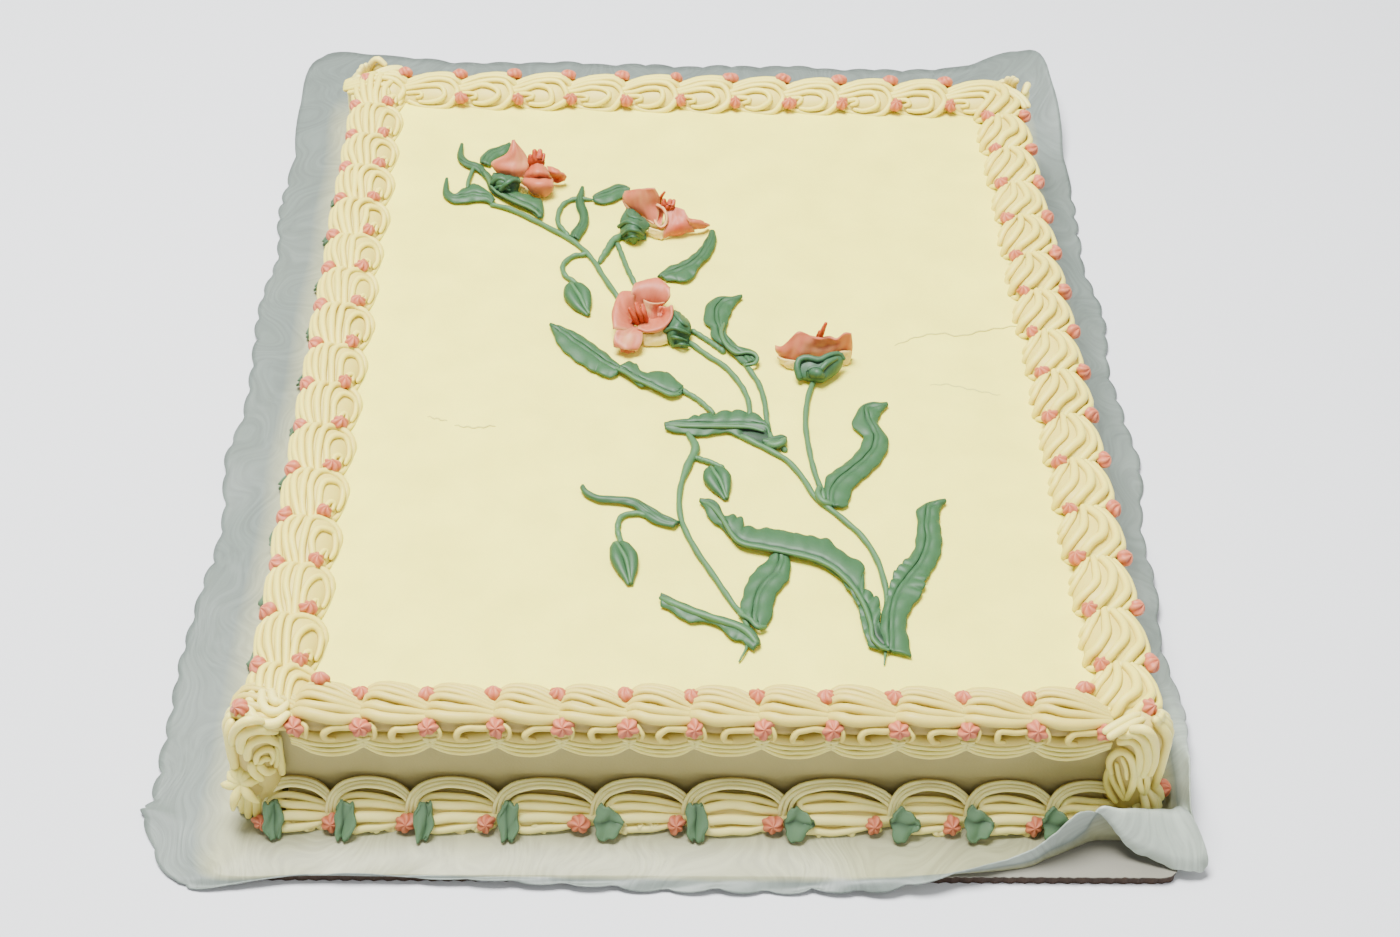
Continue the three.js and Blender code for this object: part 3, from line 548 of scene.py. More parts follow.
# Front: soft ridges run over the shell to the outer star. The thickest stands over a hollow, and the last
# two are a hook and a thin string in it.
SWEPT_RIDGES = (
    (1.2, (0.0, -78), (0.12, -80), (0.4, -68), (0.75, -44), (1.08, -14)),
    (1.3, (-0.06, -60), (0.08, -64), (0.4, -53), (0.75, -32), (1.08, -6)),
    (1.3, (-0.08, -42), (0.07, -46), (0.4, -36), (0.75, -18), (1.08, 2)),
    (1.4, (-0.08, -24), (0.07, -27), (0.4, -18), (0.75, -3), (1.08, 10)),
    (1.5, (-0.08, -6), (0.06, -7), (0.38, 1), (0.72, 11), (1.08, 18)),
    (1.8, (-0.07, 12), (0.06, 12), (0.33, 21), (0.68, 27), (1.06, 28)),
    (2.2, (-0.05, 30), (0.06, 32), (0.3, 42), (0.65, 44), (1.06, 38)),
    (1.35, (0.88, 68), (0.74, 65), (0.59, 64), (0.47, 68), (0.42, 80), (0.45, 93), (0.55, 99)),
    (0.8, (0.1, 56), (0.15, 66), (0.17, 80), (0.14, 94)),
)
# Right: few, bold ridges that curl back to the inner side at the head, like twisted buds
BUD_RIDGES = (
    (1.4, (0.62, -98), (0.66, -84), (0.68, -66), (0.8, -50), (1.06, -34)),
    (1.5, (0.42, -98), (0.44, -84), (0.5, -66), (0.68, -46), (0.86, -36), (1.08, -26)),
    (1.9, (0.12, -84), (0.14, -66), (0.22, -44), (0.4, -24), (0.7, -16), (1.08, -16)),
    (2.0, (-0.02, -48), (0.02, -34), (0.12, -14), (0.32, 8), (0.62, 14), (0.9, 4), (1.08, -6)),
    (1.9, (-0.07, -16), (-0.02, 2), (0.1, 24), (0.32, 42), (0.62, 42), (0.9, 22), (1.08, 6)),
    (1.7, (-0.03, 28), (0.06, 48), (0.2, 64), (0.45, 70), (0.75, 58), (1.05, 28)),
    (1.4, (0.05, 66), (0.2, 86), (0.45, 94), (0.75, 82), (1.05, 48)),
    (1.3, (0.1, -100), (0.02, -80), (0.0, -62), (0.06, -48)),
)
# The top border of each side: its ridges, how deep the mound is hollowed out under them, then where its
# inner and outer stars lie, out from the face and above the cake
BORDER_TOPS = {
    "front": (SWEPT_RIDGES, 3.0, (-7.2, 6.2), (5.4, 3.4)),
    "right": (BUD_RIDGES, 0, (-11.6, 4.6), (6.4, 4.2)),
    "back": (NEST_RIDGES, 0, (-13.2, 4.0), (3.2, 6.8)),
    "left": (NEST_RIDGES, 0, (-10.8, 6.2), (4.2, 5.2)),
}
# Degrees round a mound and, at each, the share of its hollow's depth and of its painted shade: at the
# front's top, and at the foot
RECESS = ((46, 58, 126, 140), (0, 1, 1, 0))
UNDER_ARCH = ((-26, -14, 4, 12), (0, 1, 1, 0))
# Points round a mound, and how far its rings lie apart
CORE_AROUND = 22
CORE_STEP = 2.4
# Sizes of stars: the least and the greatest radius, and the height
INNER_STAR = ((3.1, 3.7), 3.0)
OUTER_STAR = ((3.6, 4.2), 3.2)
FOOT_STAR = ((3.3, 4.1), 3.0)
CRUMB = ((2.0, 3.0), 1.8)
# Levels of a star, in its own sizes: how wide, how high, and how deep the grooves between its lobes are
STAR_LEVELS = (
    (0.8, -0.5, 0.2),
    (0.95, -0.1, 0.26),
    (1.0, 0.2, 0.3),
    (0.94, 0.5, 0.34),
    (0.7, 0.8, 0.4),
    (0.4, 0.98, 0.44),
    (0.16, 1.08, 0.4),
)
# Strands of a swag: how far they hang at the stars and between them, how far out, the radius, the painted
# shade.
# The last two are the flat band behind the others, darkened with painted shade.
SWAG_STRANDS = (
    (2.2, 6.3, 5.5, 0.95, 0),
    (4.0, 9.0, 5.3, 0.95, 0),
    (5.6, 11.7, 4.9, 1, 0),
    (3.8, 9.2, 3.2, 2.1, 0.9),
    (1.0, 4.4, 3.4, 2.6, 0.25),
)
SWAG_POINTS = 17


def piped_ridge(out, mound, start, pitch, ridge, rng, size, sink=0.5):
    radius, *stretch = ridge
    stretch = np.array(stretch)
    stretch[1:-1, 0] += rng.normal(0, 0.014, len(stretch) - 2)
    stretch[1:-1, 1] += rng.normal(0, 1.8, len(stretch) - 2)
    flow = dense_curve(stretch, 7)
    radius = radius * rng.uniform(0.92, 1.08) * size
    thin = taper(len(flow), (0, 0.15, 0.7, 1), (0.9, 1, 1, 0.7)) * radius
    points, normals = mound.point(start, pitch, flow[:, 0], flow[:, 1], thin * (0.7 - sink), size)
    both = along(np.hstack([points, normals, thin[:, None]]), max(11, int(3 * len(stretch))))
    rope(out, both[:, :3], both[:, 3:6], both[:, 6], around=8, flat=0.95)


def core(out, mound, places, limit, extent, hollow=0.0, where=RECESS):
    """The smooth mound itself, which shows between the ridges and may be hollowed out. Its colour is
    darkened with painted shade, most in the hollow.
    """
    rings, shades = [], []
    turn = np.linspace(*extent, CORE_AROUND)
    dip = np.interp(turn, *where)
    for s in np.arange(-limit, limit + CORE_STEP, CORE_STEP):
        s = min(s, limit)
        k = max(0, min(len(places) - 2, int(np.searchsorted(places, s)) - 1))
        pitch = places[k + 1] - places[k]
        phase = np.full(CORE_AROUND, (s - places[k]) / pitch)
        rings.append(mound.point(places[k], pitch, phase, turn, -0.25 - hollow * dip, 0.98)[0])
        shades.append(0.35 + 0.65 * dip * (hollow > 0))
    rings = np.array(rings)
    points = np.vstack([rings.reshape(-1, 3), rings[0].mean(0), rings[-1].mean(0)])
    out.add(points, ring_faces(len(rings), CORE_AROUND), np.append(shades, (0.6, 0.6)))


def star(out, centre, axis, radius, height, rng, lobes=6, slot=1):
    """A small dropped star: pleated lobes that close to a point."""
    centre = np.asarray(centre)
    axis = unit(axis)
    first = unit(np.cross(axis, (0.3, 0.5, 0.8)))
    second = np.cross(axis, first)
    around = lobes * 5
    angle = np.linspace(0, 2 * math.pi, around, endpoint=False)
    pleat = np.abs(np.cos(lobes * angle / 2)) ** 0.8
    a, b = rng.uniform(0, 6, 2)
    uneven = 1 + 0.11 * np.sin(angle * 2 + a) + 0.07 * np.sin(angle * 3 + b)
    turn = rng.uniform(0, 6)
    twist = rng.uniform(-0.6, 0.6)
    rings = []
    for spread, rise, depth in STAR_LEVELS:
        r = radius * spread * uneven * (1 - depth + depth * pleat)
        turned = angle + turn + twist * rise
        dip = axis * (height * 0.22 * (1 - pleat) * (rise > 0.3))[:, None]
        spoke = first * (r * np.cos(turned))[:, None] + second * (r * np.sin(turned))[:, None]
        rings.append(centre + axis * height * rise + spoke - dip)
    points = np.vstack([*rings, centre - axis * height * 0.5, centre + axis * height * 1.12])
    # Painted shade in the grooves between the lobes
    shade = np.tile((1 - pleat) ** 1.3, len(rings))
    out.add(points, ring_faces(len(rings), around), np.append(shade, (0.5, 0.3)), slot)


def any_star(out, spot, axis, size, rng, **options):
    """A star whose radius is drawn from between two."""
    radii, height = size
    star(out, spot, axis, rng.uniform(*radii), height, rng, **options)


def top_border(side, quarter):
    rng = np.random.default_rng(quarter + 11)
    out = Surfaces()
    half, places = side["half"], side["shells"]
    ridges, hollow, inner_star, outer_star = BORDER_TOPS[side["name"]]
    mound = Mound(side, quarter, CREST_OUT, side["inner"], TOP_OUTER, TOP_HEIGHT, CAKE_TOP)
    core(out, mound, places, half - 4, TOP_ROUND, hollow)
    for start, following in zip(places, places[1:]):
        pitch = following - start
        size = rng.uniform(0.96, 1.05)
        shift = start + rng.normal(0, 0.4)
        for ridge in ridges:
            piped_ridge(out, mound, shift, pitch, ridge, rng, size)
        if start > -half + 2:
            swag(out, side, quarter, start, pitch, rng)
    spots = [(start, *inner_star) for start in places if abs(start) < half - 20]
    for s, o, z in [*spots, *side.get("extra_stars", ())]:
        inward = to_world_vector(quarter, 0.0, -0.3 + rng.normal(0, 0.1), 0.9)
        spot = to_world(side, quarter, s - 1.7 + rng.normal(0, 0.4), o + rng.normal(0, 0.3), CAKE_TOP + z)
        any_star(out, spot, inward, INNER_STAR, rng)
    for start in places:
        if abs(start) < half - 4:
            outward = to_world_vector(quarter, 0.0, 0.75 + rng.normal(0, 0.08), 0.64)
            o, z = outer_star
            spot = to_world(side, quarter, start + rng.normal(0, 0.4), o + rng.normal(0, 0.3), CAKE_TOP + z)
            any_star(out, spot, outward, OUTER_STAR, rng)
    # The front border takes the darker copy of the cream, painted shade
    cream = CREAM_FRONT_PAINTED_SHADE if side["name"] == "front" else CREAM
    make_piece(f"top_piping_{side['name']}", out, (cream, STAR_PINK, CREAM_SWAG_PAINTED_LIGHT),
               [f"top_border_{side['name']}"])


def swag(out, side, quarter, start, pitch, rng):
    """Strands of icing that hang from star to star on the cake's face, in a lighter cream as painted light,
    over a flat band darkened with painted shade.
    """
    outward = to_world_vector(quarter, 0.0, 1.0, 0.2)
    deeper = rng.uniform(0.95, 1.07)
    lean = rng.uniform(-0.05, 0.05)
    phase = np.linspace(-0.08, 1.08, 11)
    share = np.clip(phase + lean * np.sin(np.pi * np.clip(phase, 0, 1)), 0, 1)
    curve = np.sin(share * math.pi) ** 0.62
    for edge, lowest, o, radius, painted_shade_and_tone in SWAG_STRANDS:
        drop = edge + (lowest * deeper - edge) * curve + rng.normal(0, 0.1, len(phase))
        control = to_world(side, quarter, start + pitch * phase, o + 0.4 * (1 - curve), CAKE_TOP - drop)
        path = along(dense_curve(control, 5), SWAG_POINTS)
        size = radius * taper(SWAG_POINTS, (0, 0.3, 0.7, 1), (0.8, 1, 1, 0.8))
        rope(out, path, outward, size, around=7, painted_shade_and_tone=painted_shade_and_tone, slot=0 if painted_shade_and_tone else 2)


# Places of stars and leaves at the front foot, and which way each leaf points: 0 is up, 1 is to the right
FRONT_FOOT_STARS = (-161.5, -136.3, -109.2, -80, -45.8, -10.1, 25.4, 62.9, 91.8, 122.4)
FRONT_FOOT_LEAVES = ((-157, 0), (-131, 0), (-102.5, 0), (-71.6, 0), (-35.4, 1), (-2.6, 0), (34.5, 1),
                     (73.6, 1), (101, 1), (130, 1))
# Ridges of the foot border: the radius, then phase from arch to arch and degrees round the crest
FOOT_RIDGES = (
    (1.4, (0.12, 34), (0.1, 26), (0.2, 18), (0.42, 16), (0.75, 20), (1.04, 30)),
    (1.6, (0.12, 52), (0.08, 42), (0.17, 35), (0.42, 33), (0.75, 36), (1.03, 42)),
    (1.9, (0.16, 72), (0.12, 63), (0.2, 57), (0.42, 55), (0.75, 57), (1.02, 56)),
    (1.7, (0.16, 80), (0.28, 80), (0.44, 79), (0.6, 76), (0.82, 72)),
)
# Small lumps in the broken lower edge, under each arch
CRUMBS = 4
# Each arch has three strands, one under the other, in a lighter cream as painted light, and a flat band
# behind them, darkened with painted shade
ARCH_STRANDS = 3
ARCH_POINTS = 20
STRAND_RADIUS = 0.88
BAND_RADIUS = 2.18
# Points along and across a foot leaf
LEAF_GRID = 17


def foot_border(side, quarter):
    rng = np.random.default_rng(quarter + 31)
    out = Surfaces()
    half = side["half"]
    arches = [a for a in side["arches"] if abs(a) < half + 8]
    mound = Mound(side, quarter, FOOT_CREST_OUT, FOOT_CREST_OUT, FOOT_REACH, FOOT_HEIGHT, CAKE_FLOOR)
    core(out, mound, arches, half - 5, FOOT_ROUND, 3.0, UNDER_ARCH)
    for start, following in zip(arches, arches[1:]):
        pitch = following - start
        size = rng.uniform(0.95, 1.05)
        for ridge in FOOT_RIDGES:
            piped_ridge(out, mound, start, pitch, ridge, rng, size, sink=0.4)
        arch(out, side, quarter, start, pitch, rng)
        for _ in range(CRUMBS):
            crumb = mound.point(start, pitch, rng.uniform(0.22, 0.9), rng.uniform(74, 88), -0.4)[0]
            any_star(out, crumb, (0.6, -0.4, 1), CRUMB, rng, lobes=3, slot=0)
    if side["name"] == "front":
        stars, leaves = FRONT_FOOT_STARS, FRONT_FOOT_LEAVES
    else:
        inside = [a for a in arches if abs(a) < half - 4]
        stars = [a - rng.uniform(2.5, 6) for a in inside]
        leaves = [(a + rng.uniform(1.5, 4), int(rng.integers(0, 2))) for a in inside]
    outward = to_world_vector(quarter, 0.0, 0.85, 0.5)
    for place in stars:
        any_star(out, to_world(side, quarter, place, 13.4, CAKE_FLOOR + 4), outward, FOOT_STAR, rng)
    for place, kind in leaves:
        foot_leaf(out, side, quarter, place, kind, rng)
    make_piece(f"foot_piping_{side['name']}", out, (CREAM_LOW_PAINTED_LIGHT, FOOT_PINK, FOOT_GREEN_PAINTED_LIGHT, CREAM_ARCH_PAINTED_LIGHT),
               [f"bottom_border_{side['name']}"])


def arch(out, side, quarter, start, pitch, rng):
    """A band of strands that rises steeply beside the leaf and comes down at the next arch."""
    outward = to_world_vector(quarter, 0.0, 0.7, 0.7)
    taller = rng.uniform(-0.5, 0.3)
    for k in range(ARCH_STRANDS + 1):
        behind = k == ARCH_STRANDS
        down = 1.35 * min(k, 2)
        table = np.array((
            (-0.08 + 0.035 * down, 10.6 - 0.2 * down, 2.4),
            (-0.07 + 0.035 * down, 8.8, 7.4 - 0.2 * down),
            (-0.02 + 0.03 * down, 6.2 + 0.5 * down, 11.4 - 0.1 * down),
            (0.13 + 0.015 * down, 3.4 + 0.9 * down, 14.3 - 0.4 * down),
            (0.4, 2.0 + down, 15.1 - 0.25 * down),
            (0.7, 2.5 + down, 14.0 - 0.3 * down),
            (0.9 - 0.01 * down, 4.3 + 0.8 * down, 11.2 - 0.4 * down),
            (1.0 - 0.015 * down, 6.2 + 0.6 * down, 8.6 - 0.5 * down),
        ))
        table[1:-1, 2] += taller + rng.normal(0, 0.12, len(table) - 2)
        if behind:
            table[:, 1:] -= (2.9, 0.9)
        phase, o, z = table.T
        control = to_world(side, quarter, start + pitch * phase, o, CAKE_FLOOR + z)
        path = along(dense_curve(control, 7), ARCH_POINTS)
        radius = BAND_RADIUS if behind else STRAND_RADIUS
        size = radius * taper(ARCH_POINTS, (0, 0.2, 0.7, 1), (0.9, 1, 1, 0.8))
        rope(out, path, outward, size, around=7, painted_shade_and_tone=0.9 * behind, slot=0 if behind else 3)


def foot_leaf(out, side, quarter, place, kind, rng):
    """A small pleated leaf against the foot border: upright and folded, or with its point to the right."""
    v = np.linspace(0, 1, LEAF_GRID)[:, None]
    u = np.linspace(-1, 1, LEAF_GRID)[None, :]
    a, b = rng.uniform(0, 6, 2)
    fold = rng.uniform(-0.35, 0.35)
    if kind == 0:
        jagged = 1 + 0.14 * np.sin(9 * v + a + 2 * u) + 0.03 * np.sin(17 * v + b)
        wide = rng.uniform(3.4, 4.0) * np.sin(np.pi * (0.15 + 0.79 * v)) ** 0.45 * jagged
        s = place + u * wide + rng.uniform(-1.6, 1.6) * (v - 0.5)
        rise = 12.2 - 11.6 * v + 0.6 * np.abs(u) * np.sin(9 * u + a)
        centre = np.abs(u - fold) + 0 * v
        pleats = np.cos(2 * math.pi * u)
    else:
        across = 2 * v - 1
        half_height = rng.uniform(5.4, 6.0) * (1 - (0.5 + 0.5 * u) ** 2.3) ** 0.8
        scallop = 0.8 * np.abs(np.cos(1.4 * math.pi * across)) * np.clip(-u, 0, 1) ** 2
        s = place - 4.2 - scallop + (u + 1) * 5.0 + 2.2 * across**2 * np.clip(-u, 0, 1)
        rise = 6.2 - across * half_height + 0.5 * np.sin(6 * u + a) * np.abs(across)
        centre = np.abs(across - 0.6 * fold) + 0 * u
        pleats = np.cos(2 * math.pi * across)
    # It leans against the border, and its midrib is a groove, darkened with painted shade
    midrib = 0.35 * np.exp(-((centre / 0.16) ** 2))
    o = 18.9 - 0.66 * rise + 1.1 * centre**1.2 - 0.16 * pleats + 0.6 * np.sin(5 * v + 4 * u + a) - midrib
    z = np.maximum(CAKE_FLOOR + 0.6 + rise, CAKE_FLOOR + 0.9)
    grid = to_world(side, quarter, s + 0 * o, o, z + 0 * o)
    sheet(out, grid, 1.8 - 0.6 * centre, 0.75 * np.exp(-((centre / 0.2) ** 2)), slot=2)


# Corners. Strands are piped round an upright column. Those that the photograph shows are drawn over an
# enlarged view of it: the radius, then across and down in the view. The others are the radius, then degrees
# round the column and height.
LEFT_COLUMN = {
    "axis": (-162.4, -205.4), "girth": 7.8, "view": (222, 700, 6),
    "drawn": (
        (1.7, (62, 258), (72, 195), (108, 148), (168, 120), (235, 126)),
        (2.0, (114, 300), (118, 230), (160, 188), (232, 174), (318, 186)),
        (1.7, (152, 345), (160, 278), (212, 238), (282, 232), (332, 262)),
        (1.25, (204, 372), (213, 327), (250, 299), (290, 300), (307, 332), (296, 374)),
        (1.1, (228, 376), (252, 354), (282, 356)),
        (1.7, (176, 386), (190, 430), (236, 470)),
        (1.6, (226, 396), (262, 428), (306, 424)),
        (1.3, (322, 290), (330, 340), (322, 392)),
    ),
    "round": (
        (2.0, (-152, 53), (-148, 46), (-146, 36), (-152, 26)),
        (2.0, (-176, 53), (-172, 46), (-170, 36), (-174, 26)),
        (2.0, (-200, 53), (-196, 46), (-194, 34), (-196, 22)),
        (1.8, (-12, 43), (-16, 34), (-14, 24)),
    ),
}
# A rosette at the foot of the left corner: its middle, then where its arms end, as seen from its front
ROSETTE_PLACE = (-166.4, -212, 23.6)
ROSETTE_ARMS = ((2.4, 9.8), (-5.4, 5), (-4.6, -2.6), (2, -7), (6.3, -6.3), (8, 2.8), (6.6, -1.6),
                (-1.6, -5.8))
ROSETTE_FACES = (-0.25, -0.72, 0.68)
# Degrees round the left column where short strands run down to the board
ROSETTE_SKIRT = (150, 172, 194, 216, 238, 262)
RIGHT_COLUMN = {
    "axis": (157.6, -204.6), "girth": 9.2, "view": (1070, 660, 5),
    "drawn": (
        (1.55, (206, 560), (198, 515), (214, 478), (250, 456), (290, 470), (316, 520), (324, 580),
         (308, 640), (286, 690)),
        (1.2, (205, 566), (216, 604), (240, 648), (268, 694)),
        (0.9, (234, 520), (244, 575), (260, 630), (276, 672)),
        (0.9, (262, 492), (280, 540), (284, 592)),
        (1.4, (190, 556), (184, 608), (200, 660), (228, 704)),
        (1.6, (250, 410), (298, 402), (334, 426), (350, 475), (346, 530), (330, 580)),
        (1.8, (258, 378), (318, 368), (366, 398), (386, 450), (386, 515), (364, 574)),
        (1.8, (314, 346), (372, 348), (410, 384), (424, 434), (420, 500), (402, 566)),
        (1.3, (348, 560), (346, 610), (360, 660)),
        (1.3, (382, 574), (384, 622), (372, 668)),
    ),
    "round": (
        (2.0, (-62, 59), (-40, 55), (-27, 46), (-25, 35), (-27, 22)),
        (2.0, (-40, 59), (-18, 54), (-9, 45), (-8, 34), (-8, 22)),
        (2.0, (-14, 58), (2, 51), (8, 42), (9, 32), (8, 20)),
        (2.0, (8, 56), (20, 48), (25, 38), (26, 28), (24, 16)),
    ),
}
# Drops of icing round the foot of the right column: degrees and height
RIGHT_BLOBS = ((-64, 18), (-44, 17), (-30, 14), (-8, 15), (-72, 11), (-54, 9), (-38, 8.6), (-20, 9.4),
               (-4, 8.6), (-86, 9), (14, 11), (-50, 13), (-16, 12))
# Small pink stars at the corners: where they lie and where they point
LEFT_STAR = ((-165.4, -205.6, 57.4), (-0.5, -0.5, 0.6))
RIGHT_STARS = (((159.6, -201.6, 56.2), (0.5, -0.3, 0.8)), ((172.6, -202.4, 11.5), (0.85, -0.35, 0.4)))
# Where the two back corners of the cake are, by how many quarters the front right one is turned
BACK_CORNERS = {1: (CAKE_HALF_WIDTH, CAKE_HALF_DEPTH), 2: (-CAKE_HALF_WIDTH, CAKE_HALF_DEPTH)}
# How a strand's thickness changes along it: shares of its length, and sizes there
STRAND_TAPER = ((0, 0.1, 0.8, 1), (0.85, 1, 1, 0.75))
# Ropes over the corners of the top border, right and left. The left ones begin with their radius.
ROPE_ON_TOP = ((143.2, -213, 55.4), (147.4, -210.8, 56.6), (151.8, -208.2, 56.8), (156, -205.6, 56))
TAIL_ROPES = (
    (1.9, (-162.6, -199, 57), (-162.4, -205.6, 57), (-159, -210.8, 56.4), (-153, -211.6, 56.2),
     (-149, -208, 56.8)),
    (1.8, (-158.8, -199, 58), (-158, -204.2, 58), (-155.4, -207.4, 57.8), (-151.8, -207.2, 57.6),
     (-149.6, -204.4, 57.8)),
    (1.8, (-155.4, -199, 58.4), (-154, -203, 58.4), (-151.6, -203.6, 58.2)),
)


def seen_round(points, view, axis, radius):
    """Places on an upright round column of points drawn over a view of the photograph."""
    points = np.array(points, float)
    eye = np.array(CAMERA_PLACE)
    ray = seen(np.column_stack([points, np.zeros(len(points))]), view[:2], view[2]) - eye
    start = eye[:2] - np.array(axis)
    a = (ray[:, :2] ** 2).sum(1)
    b = ray[:, :2] @ start
    c = start @ start - radius**2
    share = (-b - np.sqrt(np.maximum(b * b - a * c, 0))) / a
    return eye + ray * share[:, None]


def down_column(axis, away, steps):
    """A curve down the outside of a column: distances from its axis, and heights."""
    return dense_curve([(*(axis + reach * away), height) for reach, height in steps], 6)


def left_foot(out, piped, axis):
    """A rosette, and the short strands beside it."""
    front = unit(ROSETTE_FACES)
    across = unit(np.cross((0, 0, 1), -front))
    rise = np.cross(-across, front)
    hub = np.array(ROSETTE_PLACE)
    for a, b in ROSETTE_ARMS:
        reach = across * a + rise * b
        control = dense_curve([hub + reach * share + front * lift
                               for share, lift in ((0, 3), (0.35, 4.2), (0.75, 3), (1.1, 0))], 6)
        control[:, 2] = np.maximum(control[:, 2], CAKE_FLOOR + 1.3)
        piped(control, front + 0 * control, 2.0, ((0, 0.45, 1), (0.7, 1, 0.4)), 12)
    # The rosette's stalk, darkened with painted shade
    stalk = np.array([hub - front * 8, hub - front * 2, hub + front * 0.5])
    rope(out, stalk, across, (6, 6, 4.4), around=20, painted_shade_and_tone=0.5)
    for away in compass(ROSETTE_SKIRT):
        control = down_column(axis, away, ((6.8, 17), (7.8, 11.5), (9.2, CAKE_FLOOR + 1.6)))
        piped(control, (*away, 0.6), 1.9, count=10)


def right_foot(piped, axis, rng):
    """Drops of icing that spread round the column's foot."""
    for turn, height in RIGHT_BLOBS:
        away = compass(turn)
        lowest = max(height - 3.4, CAKE_FLOOR + 1.5)
        control = down_column(axis, away, ((9, height + 3.6), (11.8, height + 0.6), (13.4, lowest)))
        piped(control, (*away, 0.6), rng.uniform(1.5, 2.1), ((0, 0.5, 1), (0.8, 1, 0.9)), 12, slot=2)


def corner(name, quarter, seed):
    """Piping up a vertical edge of the cake. Back corners are the front right one, turned."""
    rng = np.random.default_rng(seed)
    out = Surfaces()
    left = name == "front_left"
    column = LEFT_COLUMN if left else RIGHT_COLUMN
    axis, girth = np.array(column["axis"]), column["girth"]

    def place(points):
        points = np.asarray(points, float)
        if not quarter:
            return points
        x, y, z = np.moveaxis(points, -1, 0)
        turned = quarter_turn(quarter, x - CAKE_HALF_WIDTH, y + CAKE_HALF_DEPTH, z)
        return turned + (*BACK_CORNERS[quarter], 0)

    def piped(points, normals, radius, shape=STRAND_TAPER, count=26, slot=0):
        both = along(np.hstack([place(points), place(points + unit(normals)) - place(points)]), count)
        rope(out, both[:, :3], both[:, 3:6], radius * taper(count, *shape), around=9, slot=slot)

    def over_edge(height):
        """How far a strand's normal turns up where it bends over the top."""
        return np.clip((height - CAKE_TOP + 2) / 9, 0, 1)[:, None]

    # The column under the strands, darkened with painted shade
    heights = np.linspace(CAKE_FLOOR + girth + 2, CAKE_TOP - 2, 16)
    middle = np.column_stack([np.broadcast_to(axis, (len(heights), 2)), heights])
    rope(out, place(middle), (1, 0, 0), girth, around=26, painted_shade_and_tone=0.7)
    for radius, *strand in column["drawn"]:
        control = dense_curve(seen_round(strand, column["view"], axis, girth + 0.6 * radius), 7)
        away = unit(np.column_stack([control[:, :2] - axis, 0 * control[:, 2]]))
        piped(control, away + over_edge(control[:, 2]) * (0, 0, 1.2), radius)
    for radius, *strand in column["round"]:
        turn, height = dense_curve(strand, 7).T
        away = np.column_stack([compass(turn), 0 * turn])
        top = over_edge(height)
        control = away * (girth + 0.5 * radius) * (1 - 0.45 * top**2)
        control += np.column_stack([np.broadcast_to(axis, (len(height), 2)), height])
        piped(control, away + top * (0, 0, 1.2), radius)
    if left:
        left_foot(out, piped, axis)
        for radius, *strand in TAIL_ROPES:
            piped(dense_curve(strand, 7), (-0.1, -0.3, 1.0), radius)
        star(out, *LEFT_STAR, 3.9, 3.2, rng)
    else:
        right_foot(piped, axis, rng)
        for shift in (-1.3, 1.3):
            control = dense_curve(np.array(ROPE_ON_TOP) + (0.5 * shift, -0.85 * shift, -0.1 * shift), 7)
            piped(control, (0.0, -0.3, 1.0), 1.6)
        for spot, way in RIGHT_STARS:
            star(out, place(spot), place(np.add(spot, way)) - place(spot), 3.6, 3.1, rng)
    # A short plug joins the column to the border on the cake's top, lightly darkened with painted shade
    inward = np.array((9, 9) if left else (-8, 7))
    plug = np.array([(*(axis + inward * t), CAKE_TOP + 1.2 - t) for t in (1, 0.6, 0.2)])
    rope(out, place(along(plug, 8)), (0, 0, 1), 5.4, around=22, flat=0.9, painted_shade_and_tone=0.2)
    make_piece(f"corner_piping_{name}", out, (CREAM_CORNER_PAINTED_LIGHT, STAR_PINK, CREAM_LOW_PAINTED_LIGHT), [f"corner_{name}"])


# Cake body, board and paper

def unevenness(points, scale, strength):
    return np.array([noise.noise(Vector(p) * scale) for p in points]) * strength


# Faint wrinkles in the top icing, darkened with painted shade
TOP_WRINKLES = (
    ((86.5, 10.3), (96, 16), (107, 19), (116, 17.5), (127, 21.5), (143, 25.3)),
    ((99.2, -16), (106, -15.4), (113.9, -17.7), (128.4, -22)),
    ((-100.5, -45.2), (-92, -46.4), (-84.1, -44.9)),
    ((-112, -40), (-104, -42.6)),
)
# Points of the cake's skin: across and along its top, and up its sides
TOP_COLUMNS = 80
TOP_ROWS = 104
WALL_ROWS = 16
WALL_NORMALS = ((0, -1), (1, 0), (0, 1), (-1, 0))


def rectangle_sides(w, d):
    """Start and end of each side of a rectangle: front, right, back, left."""
    corners = ((-w, -d), (w, -d), (w, d), (-w, d))
    return list(zip(corners, (*corners[1:], corners[0])))


